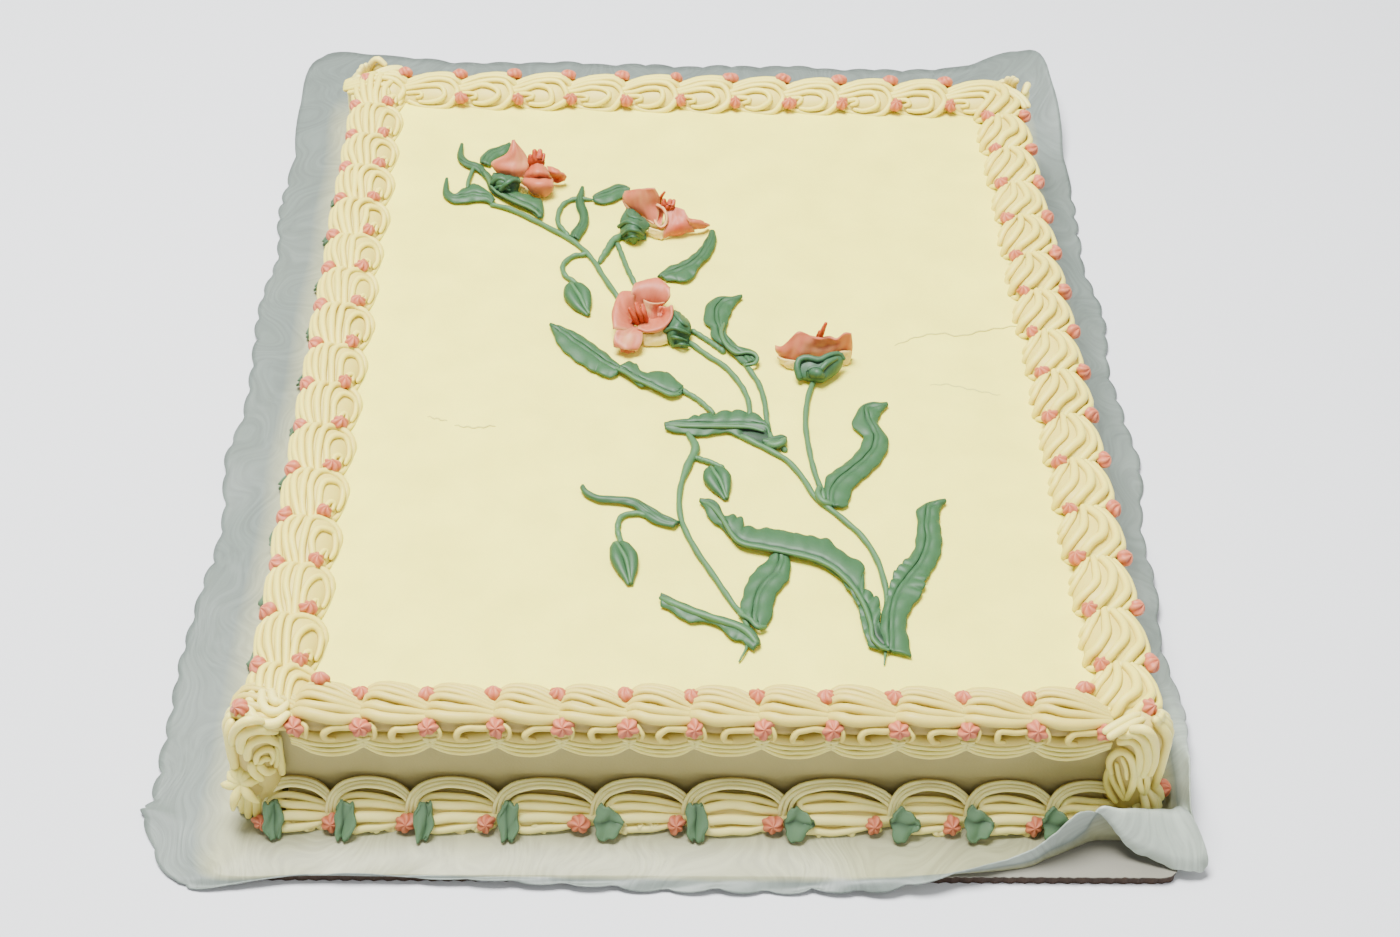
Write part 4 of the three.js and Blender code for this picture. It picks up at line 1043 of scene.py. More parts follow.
def cake_body():
    out = Surfaces()
    w, d = CAKE_HALF_WIDTH, CAKE_HALF_DEPTH
    gx, gy = np.meshgrid(np.linspace(-w, w, TOP_COLUMNS), np.linspace(-d, d, TOP_ROWS))
    flat = np.column_stack([gx.ravel(), gy.ravel(), np.zeros(gx.size)])
    fade = np.clip(np.minimum(w - np.abs(gx), d - np.abs(gy)).ravel() / 12, 0, 1)
    z = CAKE_TOP + (unevenness(flat, 0.03, 0.35) + unevenness(flat, 0.12, 0.16)) * fade - 0.25 * fade
    faces = grid_faces(TOP_ROWS, TOP_COLUMNS)
    out.add(np.column_stack([flat[:, :2], z]), [faces], 0)
    # The walls are darkened with full painted shade, the top not at all, and the unseen bottom a little
    levels = np.linspace(CAKE_FLOOR, CAKE_TOP, WALL_ROWS)
    for ((x0, y0), (x1, y1)), normal in zip(rectangle_sides(w, d), WALL_NORMALS):
        count = TOP_COLUMNS if y0 == y1 else TOP_ROWS
        t = np.tile(np.linspace(0, 1, count), WALL_ROWS)
        level = np.repeat(levels, count)
        points = np.column_stack([x0 + (x1 - x0) * t, y0 + (y1 - y0) * t, level])
        from_edge = np.minimum(np.minimum(level - CAKE_FLOOR, CAKE_TOP - level) / 8, 1)
        from_corner = np.minimum(1, 12 * np.minimum(t, 1 - t))
        push = unevenness(points, 0.04, 0.5) * (from_edge * from_corner)
        points[:, :2] += push[:, None] * normal
        out.add(points, [grid_faces(WALL_ROWS, count)], 1)
    out.add(flat + (0, 0, CAKE_FLOOR), [faces[:, ::-1]], 0.25)
    for points in TOP_WRINKLES:
        path = along(dense_curve([(x, y, CAKE_TOP - 0.25) for x, y in points], 8), 5 * len(points))
        path[:, 1] += 0.5 * np.sin(np.arange(len(path)) * 1.7)
        size = 0.42 * taper(len(path), (0, 0.3, 0.8, 1), (0.6, 1, 1, 0.6))
        rope(out, path, (0, 0, 1), size, around=6, painted_shade_and_tone=0.5)
    piece = make_piece("cake_block", out, (CREAM_TOP,), ["cake_body"])
    weld(piece, 0.01)


def weld(piece, distance):
    """Joins points that lie together, so that the piece is one closed skin."""
    edit = bmesh.new()
    edit.from_mesh(piece.data)
    bmesh.ops.remove_doubles(edit, verts=edit.verts, dist=distance * MM)
    edit.to_mesh(piece.data)
    edit.free()
    piece.data.update()


# Layers of the board: from and up to which height, the material, and how far in from the outline
BOARD_LAYERS = ((3.6, BOARD_THICKNESS, 0, 0.0), (0.0, 0.4, 1, 0.1), (0.35, 3.65, 1, 0.15))


def rounded_rectangle(w, d, r, step):
    points = []
    for turn, x, y in ((-90, w - r, -d + r), (0, w - r, d - r), (90, -w + r, d - r), (180, -w + r, -d + r)):
        points.extend((x, y) + r * compass(np.linspace(turn, turn + 90, 7)))
    points.append(points[0])
    return along(np.array(points), int(2 * (w + d) * 2 / step))[:-1]


def cake_board():
    """White liner on top, darkened with painted shade, and brown card under it whose flutes show at the
    edge, darker still with painted shade.
    """
    out = Surfaces()
    outline = rounded_rectangle(BOARD_HALF_WIDTH, BOARD_HALF_DEPTH, BOARD_CORNER, 1.6)
    count = len(outline)
    arc = np.arange(count)
    ragged = 0.18 * np.sin(arc * 2.9) + 0.12 * np.sin(arc * 1.3)
    fluted = 0.35 * np.sin(arc * 1.9)
    for low, high, slot, inset in BOARD_LAYERS:
        wave = fluted if slot else ragged
        ring = outline - unit(outline) * (inset + wave[:, None] + 0.2)
        rings = [np.column_stack([ring, np.full(count, z)]) for z in (low, high)]
        out.add(np.vstack([*rings, (0, 0, low), (0, 0, high)]), ring_faces(2, count), 0, slot)
    make_piece("corrugated_board", out, (LINER_PAINTED_SHADE, FLUTES_AND_PAINTED_SHADE), ["cake_board"], smooth=False)


# Where the paper leaves the board round its front right corner: it stands up, folds over in a flap with an
# ear at the board's corner, and stands again along the right. Foot, crest and lip.
PAPER_FOLD = (
    ((113, -234.6), (113.8, -234.2, 7.8), (114.9, -233.4, 11.6)),
    ((127, -229.4), (127.2, -229.6, 11), (126.9, -229.4, 18.4)),
    ((139, -223.8), (139, -224, 15), (138.2, -223.8, 25)),
    ((144.6, -221.4), (144, -222, 23.6), (147, -223.4, 18.8)),
    ((154, -221), (154, -221.6, 23.4), (153.4, -227.8, 12)),
    ((164, -221), (163.8, -221.8, 23), (164.4, -232, 6.6)),
    ((170.5, -220.4), (171, -221.8, 22.6), (176.6, -235.4, 4.8)),
    ((173, -216), (176, -218.4, 19.6), (185, -232.8, 6)),
    ((174, -209), (178, -211.6, 13), (179.6, -218, 18)),
    ((174, -196), (179.6, -198, 13), (181.6, -202, 20)),
    ((174, -180), (181, -181, 12), (184.6, -186, 16)),
    ((174, -156), (182.4, -157, 9), (189.6, -158, 6)),
)
# The paper's tip at the front left
PAPER_TIP = ((-174.5, -224, 4), (-190, -218, 2.2), (-206.4, -211.6, 1.2))
# How many places there are along each side of the board, and from and up to which the fold takes over
PAPER_STEPS = (10, 13, 10, 13)
FOLD_FROM = 8
FOLD_TO = 13
# The paper's front left corner, where it lies low, and its back right one, which stands up
PAPER_FRONT_CORNER = (-188, -241, 1.2)
PAPER_BACK_CORNER = (190, 284, 26.0)
# Points between two places, rings from the board's edge to the paper's, and scallops round the whole edge
PAPER_STRETCH = 14
PAPER_RINGS = 13
PAPER_SCALLOPS = 118
# Places round the board, and how much paler the paper is painted there, as painted light
PAPER_PAINTED_LIGHT = ((7, 8, 10.2, 11.2, 14.6, 15.6, 18, 20), (0, 0.4, 0.4, 1, 1, 0.6, 0.6, 0))


def paper_rim():
    """Foot, middle and edge of the paper at places round the board."""
    w, d = BOARD_HALF_WIDTH, BOARD_HALF_DEPTH
    rim = []
    for ((x0, y0), (x1, y1)), steps in zip(rectangle_sides(w, d), PAPER_STEPS):
        rim += [(x0 + (x1 - x0) * i / steps, y0 + (y1 - y0) * i / steps) for i in range(steps)]
    stations = []
    for k, (x, y) in enumerate(rim):
        wave = 0.5 + 0.5 * math.sin(k * 2.4)
        by_fold = FOLD_FROM - 1 <= k <= FOLD_TO + 1
        out_x, out_y, low = x * 1.053, y, 0.4 + 1.6 * wave
        if x == w:
            out_x = PAPER_RIGHT + 4 * (wave - 0.5) - 8.5 * min(1, max(0, (-40 - y) / 60))
        if x == -w:
            out_x = -PAPER_LEFT - 4 * (wave - 0.5) if y > -120 else -PAPER_LEFT - 3.3
        if y == d:
            out_y = PAPER_BACK
        if y == -d:
            # The paper ends with the board at the left, and hangs over it farther right
            overhang = min(1, max(0, (x / w + 0.62) / 0.6))
            out_y = -PAPER_FRONT - 4.2 * overhang
            low = 4.3 - 2.6 * overhang
            if x < -w * 0.9:
                out_x, out_y, low = PAPER_FRONT_CORNER
        if by_fold:
            low = 5
        inner = np.array((x, y, BOARD_THICKNESS))
        outer = np.array(PAPER_BACK_CORNER if x == w and y == d else (out_x, out_y, low))
        middle = (inner + outer) / 2 + np.array((0, 0, 1.0 if by_fold else -0.4))
        stations.append((inner, middle, outer))
    folded = [((*foot, BOARD_THICKNESS), crest, lip) for foot, crest, lip in PAPER_FOLD]
    return np.array([*stations[:FOLD_FROM], *folded, *stations[FOLD_TO:], PAPER_TIP], float)


def paper():
    out = Surfaces()
    stations = paper_rim()
    smooth = closed_curve(stations, PAPER_STRETCH)
    count = len(smooth)
    arc = np.linspace(0, 1, count, endpoint=False)
    station = arc * len(stations)
    scallop = np.abs(np.sin(arc * math.pi * PAPER_SCALLOPS + 0.9 * np.sin(arc * 40))) ** 0.6
    inner, middle, outer = smooth[:, 0], smooth[:, 1], smooth[:, 2]
    # The scallops are low along the fold
    end = FOLD_FROM + len(PAPER_FOLD)
    calm = np.interp(station, (FOLD_FROM - 1, FOLD_FROM, end - 2, end), (1, 0.25, 0.25, 1))
    outer = outer + unit(outer - middle) * ((2.4 * scallop - 1.4) * calm)[:, None]
    # From the middle of the board to its edge, then over the edge
    raised = np.array((0, 0, 0.05))
    rings = [inner * (0.02, 0.02, 1) + raised, inner * (0.9, 0.93, 1) + raised]
    for v in np.linspace(0, 1, PAPER_RINGS):
        point = (1 - v) ** 2 * inner + 2 * v * (1 - v) * (2 * middle - (inner + outer) / 2) + v**2 * outer
        point[:, 2] += 0.5 * np.sin(arc * 300 + 5 * v) * v + 0.4 * np.sin(arc * 171 - 3 * v) * v
        point[:, 2] = np.maximum(point[:, 2], 0.3)
        rings.append(point)
    grid = np.array(rings)
    grid[..., 2] += PAPER_THICKNESS / 2 + 0.03
    rows = len(grid)
    normal = unit(np.cross(np.gradient(grid, axis=0), np.roll(grid, -1, 1) - np.roll(grid, 1, 1)))
    half = normal * PAPER_THICKNESS / 2
    points = np.concatenate([(grid + half).reshape(-1, 3), (grid - half).reshape(-1, 3),
                             [(0, 0, 4.5), (0, 0, 4.1)]])
    total = rows * count
    k = np.arange(total).reshape(rows, count)
    beside = np.roll(k, -1, 1)
    top = np.stack([k[:-1].ravel(), k[1:].ravel(), beside[1:].ravel(), beside[:-1].ravel()], -1)
    edge = np.stack([k[-1], k[-1] + total, beside[-1] + total, beside[-1]], -1)
    hub_top = np.column_stack([np.full(count, 2 * total), k[0], beside[0]])
    hub_low = np.column_stack([np.full(count, 2 * total + 1), beside[0] + total, k[0] + total])
    over_board = np.interp(np.arange(rows), (0, 2.5, 7), (1, 1, 0))[:, None]
    # Painted light: the flap at the front right is painted paler, and so is the paper that stands beside it
    flap = np.interp(station, *PAPER_PAINTED_LIGHT)[None, :]
    pale = flap * np.interp(np.arange(rows), (6, 9), (0, 1))[:, None]
    shade = (over_board * (1 - pale) - pale).reshape(-1)
    faces = [top, top[:, ::-1] + total, edge, hub_top, hub_low]
    out.add(points, faces, np.concatenate([shade, shade, [1, 1]]))
    make_piece("paper_sheet", out, (PAPER,), ["paper_liner"])


# Spray

# Places along each stem
STEMS = {
    "stem_flower_1": ((-84, 103.5), (-75, 97), (-65, 89), (-54, 79), (-46, 67), (-41, 55), (-37, 46)),
    "stem_flower_2": ((-33.1, 84.7), (-36.7, 80.6), (-38.7, 75.2), (-41.5, 68)),
    "stem_branch_2": ((-34, 76), (-32, 68), (-30, 60), (-27.5, 52)),
    "stem_bud_1": ((-50.5, 70), (-55, 68.5), (-59, 62), (-58, 55), (-54.5, 51)),
    "stem_loop_leaf": ((-58.7, 86.8), (-61.9, 93), (-62.2, 100.6), (-60.4, 107.5), (-56.6, 111.7)),
    "stem_flower_3_upper": ((0.5, 15), (5, 10.5), (9.5, 5.5)),
    "stem_flower_3_main": ((21.5, -7), (26, -18), (28, -30), (28.6, -44), (30.2, -53.4), (33.2, -56.6)),
    "stem_flower_3_lower": ((-2, 8), (5, 0), (12, -7), (18, -18), (21, -28), (21.5, -36)),
    "stem_leaf_left": ((-5, -24), (0, -28.5), (4.5, -34.5)),
    "stem_main": ((19.5, -52.6), (28, -59), (36, -66), (42, -77), (46, -87), (55, -98), (63, -109),
                  (68, -122), (70, -136)),
    "stem_flower_4": ((50, -14), (46.5, -26), (44.5, -42), (45, -58), (46.5, -72), (49, -85)),
    "stem_left_plant": ((-4, -51), (-1.5, -59), (-5, -70), (-8.2, -84), (-8, -100), (-3, -116), (4, -131),
                        (11, -146)),
    "stem_bud_2": ((0.5, -65.5), (4, -67), (7, -69)),
    "stem_bud_3": ((-21, -98.8), (-26, -97.5), (-31.5, -99.5), (-33, -106), (-32, -112)),
}
# Places along a bud, and how wide it is there
BUDS = {
    "bud_1": ((-54, 47.5, 3.6), (-52, 40, 5.4), (-49.4, 32, 4.4), (-47, 27, 2.4)),
    "bud_2": ((5.5, -71.5, 3.6), (7, -78, 5), (10, -88.5, 2.6)),
    "bud_3": ((-32.5, -115, 3.4), (-30, -124, 4.8), (-28, -136, 2.8)),
}
# How far a string reaches beyond its solid, under the leaf or flower that it meets
STEM_REACH = 2.8
STEM_RADIUS = 1.22
STEM_LIFT = 1.1
# Where along it a stem is thicker, and how many times
STEM_SWELL = {
    "stem_left_plant": ((0, 0.06, 0.16, 0.24, 1), (0.8, 1.5, 1.5, 1, 1)),
    "stem_flower_2": ((0, 0.3, 0.8, 1), (0.9, 1.5, 1.3, 0.9)),
}
# Places beyond a stem's two ends that it reaches under other pieces
STEM_TAILS = {
    "stem_flower_2": ((-30.5, 89), None),
    "stem_loop_leaf": (None, (-52.4, 112.6), (-45, 112.2)),
    "stem_flower_1": ((-93, 107.4), (-34, 39.5)),
    "stem_main": (None, (70, -146), (69, -158), (67.6, -168), (66.4, -176)),
    "stem_left_plant": (None, (15, -153), (16.4, -161), (15.4, -169), (12.6, -175)),
}


def stem(name, points, seed):
    rng = np.random.default_rng(seed)
    out = Surfaces()
    points = np.array(points, float)
    tails = STEM_TAILS.get(name, (None,))
    before = [tails[0] or points[0] + unit(points[0] - points[1]) * STEM_REACH]
    after = [p for p in tails[1:] if p] or [points[-1] + unit(points[-1] - points[-2]) * STEM_REACH]
    points = np.vstack([before, points, after])
    control = np.column_stack([points, np.full(len(points), CAKE_TOP + STEM_LIFT)])
    count = max(14, 6 * len(points))
    path = along(dense_curve(control, 12), count)
    k = np.arange(count)
    path[:, 2] += 0.12 * np.sin(k * 1.1 + seed)
    path[[0, -1], 2] -= 0.5
    wobble = 1 + 0.07 * np.sin(k * 0.9 + seed) + rng.normal(0, 0.02, count)
    radius = STEM_RADIUS * wobble * taper(count, *STEM_SWELL.get(name, ((0, 1), (1, 1))))
    if len(after) > 1:
        radius *= taper(count, (0, 0.86, 1), (1, 1, 0.25))
    rope(out, path, (0, 0, 1), radius, around=12, flat=0.95)
    make_piece(name.replace("stem", "string"), out, (STEM_GREEN,), [name])


# Leaves, drawn over enlarged views of the photograph: the view's corner and how far it is enlarged, then
# left edge, midrib and right edge of each leaf from its tip to its base.
VIEW_TIP = (438, 130, 7)
VIEW_LOOP = (440, 120, 5)
VIEW_MIDDLE = (640, 215, 7)
VIEW_LEFT = (535, 315, 7)
VIEW_KNOT = (560, 380, 4)
VIEW_RIGHT = (740, 380, 4)
LEAVES = {
    "leaf_tip_upper": (
        VIEW_TIP,
        (164, 106), (168, 106), (172, 108), (140, 165), (158, 168), (176, 170),
        (142, 212), (165, 205), (194, 205), (178, 248), (205, 235), (236, 230),
        (222, 270), (248, 252), (278, 242), (262, 284), (282, 264), (302, 250),
        (306, 312), (320, 300), (334, 290),
    ),
    "leaf_tip_lower": (
        VIEW_TIP,
        (64, 345), (62, 348), (60, 350), (72, 400), (56, 405), (40, 412),
        (82, 436), (62, 455), (44, 470), (130, 455), (112, 482), (100, 510),
        (180, 418), (175, 475), (170, 514), (250, 386), (245, 460), (245, 505),
        (305, 408), (300, 465), (298, 500), (355, 440), (350, 480), (345, 508),
        (400, 495), (390, 510), (378, 525),
    ),
    "leaf_behind_1": (
        VIEW_TIP,
        (296, 235), (326, 246), (360, 256), (304, 190), (345, 205), (395, 215),
        (345, 152), (380, 175), (425, 195), (410, 128), (435, 150), (470, 172),
        (470, 110), (480, 125), (500, 150), (500, 100), (503, 106), (506, 112),
    ),
    "leaf_under_1": (
        VIEW_TIP,
        (334, 286), (320, 300), (306, 314), (372, 330), (352, 345), (338, 352),
        (398, 385), (372, 395), (358, 408), (445, 420), (412, 436), (392, 450),
        (520, 430), (475, 470), (455, 484), (600, 452), (545, 503), (525, 516),
        (675, 475), (620, 535), (600, 548), (728, 505), (675, 566), (655, 578),
        (738, 570), (708, 598), (690, 606), (724, 622), (716, 620), (708, 622),
    ),
    "leaf_loop": (
        VIEW_LOOP,
        (710, 340), (713, 342), (716, 344), (694, 366), (706, 370), (719, 374),
        (680, 398), (698, 402), (716, 404), (684, 440), (704, 440), (727, 436),
        (700, 482), (718, 482), (741, 482), (690, 525), (710, 528), (736, 532),
        (660, 560), (688, 562), (712, 572), (652, 592), (672, 594), (692, 602),
    ),
    "leaf_at_flower_2": (
        VIEW_LOOP,
        (766, 388), (764, 400), (768, 412), (780, 370), (790, 395), (800, 420),
        (825, 352), (835, 380), (845, 418), (870, 328), (880, 362), (885, 402),
        (920, 330), (920, 352), (930, 380), (948, 345), (950, 356), (948, 370),
    ),
    "leaf_middle": (
        VIEW_MIDDLE,
        (492, 122), (507, 120), (524, 130), (462, 175), (492, 180), (530, 190),
        (425, 235), (462, 248), (508, 255), (385, 275), (425, 300), (470, 312),
        (330, 315), (375, 345), (412, 368), (270, 342), (312, 380), (382, 425),
        (210, 365), (262, 400), (330, 472), (160, 398), (205, 418), (258, 468),
        (122, 440), (150, 442), (180, 462),
    ),
    "leaf_curled": (
        VIEW_MIDDLE,
        (708, 572), (714, 577), (706, 584), (640, 580), (655, 596), (672, 622),
        (560, 580), (590, 612), (646, 662), (498, 602), (560, 640), (632, 698),
        (460, 652), (540, 680), (618, 735), (446, 715), (540, 725), (608, 772),
        (456, 762), (545, 765), (602, 800), (498, 800), (560, 800), (600, 838),
        (496, 850), (570, 845), (622, 866), (530, 886), (590, 890), (668, 905),
        (590, 925), (625, 930), (705, 940), (640, 975), (680, 968), (760, 940),
        (690, 1025), (740, 1000), (826, 990), (740, 1056), (775, 1040), (812, 1040),
    ),
    "leaf_left_tip": (
        VIEW_LEFT,
        (112, 70), (106, 74), (112, 84), (170, 84), (150, 105), (136, 145),
        (240, 108), (220, 150), (160, 205), (320, 148), (290, 205), (225, 275),
        (395, 200), (365, 255), (310, 338), (465, 250), (430, 305), (395, 390),
        (530, 302), (490, 345), (452, 415), (582, 350), (545, 378), (520, 442),
        (615, 385), (590, 395), (575, 420),
    ),
    "leaf_left_base": (
        VIEW_LEFT,
        (596, 362), (590, 385), (588, 398), (650, 338), (645, 408), (640, 420),
        (708, 350), (700, 445), (692, 470), (735, 405), (750, 470), (740, 505),
        (800, 412), (810, 490), (800, 500), (870, 408), (870, 522), (862, 532),
        (935, 418), (930, 550), (922, 560), (985, 465), (985, 562), (980, 572),
        (1035, 500), (1036, 530), (1025, 560),
    ),
    "leaf_knot": (
        VIEW_KNOT,
        (420, 176), (416, 184), (422, 200), (450, 166), (450, 182), (448, 208),
        (500, 162), (500, 182), (500, 216), (545, 150), (550, 184), (550, 226),
        (610, 145), (610, 184), (605, 220), (690, 132), (680, 182), (668, 212),
        (760, 142), (740, 182), (735, 236), (805, 158), (790, 188), (792, 258),
        (830, 182), (824, 198), (832, 266), (842, 205), (838, 220), (848, 264),
    ),
    "leaf_knot_curl": (
        VIEW_KNOT,
        (812, 242), (810, 248), (812, 254), (838, 236), (838, 252), (838, 268),
        (862, 228), (863, 250), (866, 274), (885, 222), (888, 247), (892, 272),
        (904, 232), (907, 244), (904, 258),
    ),
    "leaf_right_upper": (
        VIEW_RIGHT,
        (586, 97), (590, 101), (588, 106), (545, 94), (552, 108), (565, 130),
        (492, 103), (508, 118), (555, 152), (458, 150), (510, 152), (549, 172),
        (450, 190), (522, 184), (553, 186), (484, 218), (538, 212), (572, 208),
        (494, 232), (545, 238), (590, 240), (482, 268), (536, 280), (590, 275),
        (450, 312), (502, 322), (560, 330), (400, 352), (452, 364), (505, 385),
        (352, 385), (402, 405), (455, 430), (338, 425), (374, 442), (436, 478),
        (345, 480), (366, 486), (430, 502), (360, 500), (370, 512), (408, 515),
    ),
    "leaf_right_lower": (
        VIEW_RIGHT,
        (818, 483), (822, 487), (820, 492), (780, 487), (788, 498), (800, 515),
        (735, 502), (756, 515), (796, 545), (706, 528), (750, 550), (796, 572),
        (712, 575), (745, 592), (802, 605), (704, 630), (752, 640), (806, 650),
        (698, 680), (740, 695), (798, 705), (665, 725), (715, 745), (770, 760),
        (618, 780), (672, 798), (738, 812), (600, 835), (638, 845), (722, 862),
        (582, 880), (620, 888), (692, 905), (568, 940), (608, 945), (668, 950),
        (562, 1000), (606, 1005), (664, 1005), (575, 1050), (608, 1050), (676, 1055),
        (596, 1085), (606, 1092), (682, 1110),
    ),
    "leaf_long": (
        VIEW_RIGHT,
        (-158, 482), (-162, 486), (-158, 490), (-110, 482), (-118, 502), (-138, 518),
        (-88, 500), (-98, 520), (-130, 545), (-65, 545), (-75, 550), (-105, 572),
        (-30, 548), (-56, 588), (-72, 592), (4, 562), (-30, 622), (-42, 628),
        (25, 595), (10, 655), (0, 666), (110, 598), (96, 672), (90, 684),
        (190, 612), (190, 690), (186, 702), (280, 630), (280, 710), (272, 724),
        (355, 645), (340, 733), (330, 747), (400, 685), (388, 763), (374, 777),
        (450, 715), (425, 795), (408, 802), (495, 742), (450, 825), (422, 830),
        (492, 790), (472, 855), (440, 855), (500, 850), (492, 892), (466, 900),
        (550, 885), (510, 930), (478, 935), (556, 940), (522, 975), (488, 990),
        (560, 1000), (530, 1030), (508, 1050), (600, 1040), (560, 1066), (520, 1070),
        (608, 1070), (590, 1080), (575, 1085),
    ),
    "leaf_low_right": (
        VIEW_RIGHT,
        (138, 694), (166, 700), (192, 702), (104, 728), (164, 735), (200, 745),
        (56, 770), (146, 775), (192, 800), (28, 815), (100, 820), (160, 838),
        (12, 865), (74, 866), (138, 876), (2, 912), (64, 914), (130, 926),
        (10, 942), (58, 955), (114, 975), (40, 975), (66, 985), (84, 998),
    ),
    "leaf_low_left": (
        VIEW_KNOT,
        (402, 856), (402, 878), (402, 906), (430, 868), (428, 888), (432, 918),
        (480, 892), (478, 908), (478, 950), (540, 915), (535, 932), (520, 972),
        (600, 938), (592, 955), (585, 972), (660, 955), (652, 973), (648, 998),
        (715, 972), (705, 992), (680, 1035), (760, 995), (745, 1015), (720, 1045),
        (795, 1035), (775, 1045), (745, 1062), (800, 1062), (788, 1070), (775, 1083),
    ),
    "leaf_side_left": (
        VIEW_KNOT,
        (92, 424), (88, 430), (84, 436), (112, 448), (108, 456), (104, 464),
        (160, 468), (158, 477), (156, 488), (230, 470), (228, 481), (226, 494),
        (300, 478), (292, 490), (285, 505), (345, 502), (330, 515), (318, 528),
        (395, 530), (375, 545), (345, 555), (435, 552), (415, 568), (395, 580),
        (480, 570), (470, 580), (456, 592),
    ),
}
# The string piped along or beside a leaf: its radius, then across, down and height over the cake
LEAF_STRINGS = {
    "leaf_knot": (0.9, (440, 182, 2.4), (550, 186, 3.2), (680, 186, 3.2), (760, 190, 3.2),
        (812, 204, 3)),
    "leaf_knot_curl": (1.6, (826, 256, 1.6), (860, 262, 2.4), (888, 252, 3), (896, 240, 2.4)),
    "leaf_right_upper": (1.3, (318, 428, 2), (311, 455, 2.6), (330, 484, 2.6), (364, 498, 2)),
    "leaf_tip_lower": (1.0, (250, 262, 1.4), (228, 315, 1.6), (212, 360, 2), (206, 400, 2.4)),
    "leaf_under_1": (0.7, (322, 300, 2.6), (352, 346, 3.2), (374, 396, 3.2), (414, 438, 3),
        (476, 472, 3.2), (546, 506, 3.2), (622, 538, 3), (678, 568, 2.8), (710, 600, 2.2)),
    "leaf_curled": (0.9, (588, 760, 2.8), (568, 815, 3.4), (582, 875, 3.6), (620, 930, 3.4),
        (680, 968, 3.2), (750, 962, 3.6), (800, 975, 3.6), (822, 1005, 3.2), (800, 1040, 2.8),
        (745, 1050, 2.4)),
    "leaf_left_base": (0.8, (560, 372, 2.2), (644, 410, 3), (702, 448, 3), (770, 478, 2.8),
        (870, 524, 2.8), (945, 558, 2.6), (1010, 556, 2)),
    "leaf_long": (0.9, (-158, 486, 1.6), (-118, 502, 2.8), (-75, 550, 3.2), (-30, 622, 3.2),
        (10, 655, 3.2), (96, 673, 3.2), (190, 692, 3.2), (280, 712, 3.2), (340, 735, 3.2),
        (388, 765, 3.4), (450, 827, 3.6), (492, 893, 3.8), (522, 975, 3.8), (530, 1032, 3.6),
        (560, 1066, 3.2), (592, 1080, 2.4)),
    "leaf_low_right": (1.0, (-4, 936, 2), (40, 958, 3), (70, 988, 3), (102, 988, 2)),
    "leaf_low_left": (1.5, (404, 872, 2), (432, 886, 2.4), (480, 906, 2.6), (540, 930, 2.8),
        (600, 950, 2.8), (655, 968, 2.8), (708, 986, 2.8), (750, 1010, 2.8), (784, 1050, 2.2)),
}
# Where a leaf's edge stands up in scallops: side (1 is the left edge), from, to, height, width of a scallop
SCALLOPS = {
    "leaf_right_lower": ((1, 0.46, 0.74, 2.5, 4.6), (-1, 0.52, 0.7, 2.2, 4.4)),
    "leaf_long": ((1, 0.12, 0.3, 1.6, 6), (1, 0.3, 0.6, 0.5, 6), (1, 0.72, 0.96, 2.5, 4.6),
                  (-1, 0.7, 0.96, 2.3, 4.8)),
    "leaf_knot": ((1, 0.22, 0.9, 2.0, 6.6),),
    "leaf_left_tip": ((-1, 0.6, 0.95, 1.0, 7),),
    "leaf_left_base": ((1, 0.1, 0.9, 1.0, 8),),
    "leaf_low_left": ((-1, 0.15, 0.95, 0.8, 7),),
    "leaf_middle": ((-1, 0.45, 0.95, 1.6, 7), (1, 0.2, 0.6, 0.5, 7)),
    "leaf_tip_lower": ((1, 0.4, 0.9, 0.6, 6),),
}
RIB_WIDTH = 0.55
# Points from a leaf's midrib to its edge, and along it for each millimetre of its length
LEAF_ACROSS = 12
LEAF_ALONG = 1.3
# Where a leaf folds over a hollow that is darkened with painted shade: side, from, to
LEAF_HOLLOWS = {"leaf_knot": (-1, 0.7, 1.0), "leaf_long": (1, 0.9, 1.0)}


def window(share, begin, finish):
    """One between two shares of a leaf's length, and nought outside them, with soft ends."""
    return np.clip(np.minimum(share - begin, finish - share) / 0.05, 0, 1)


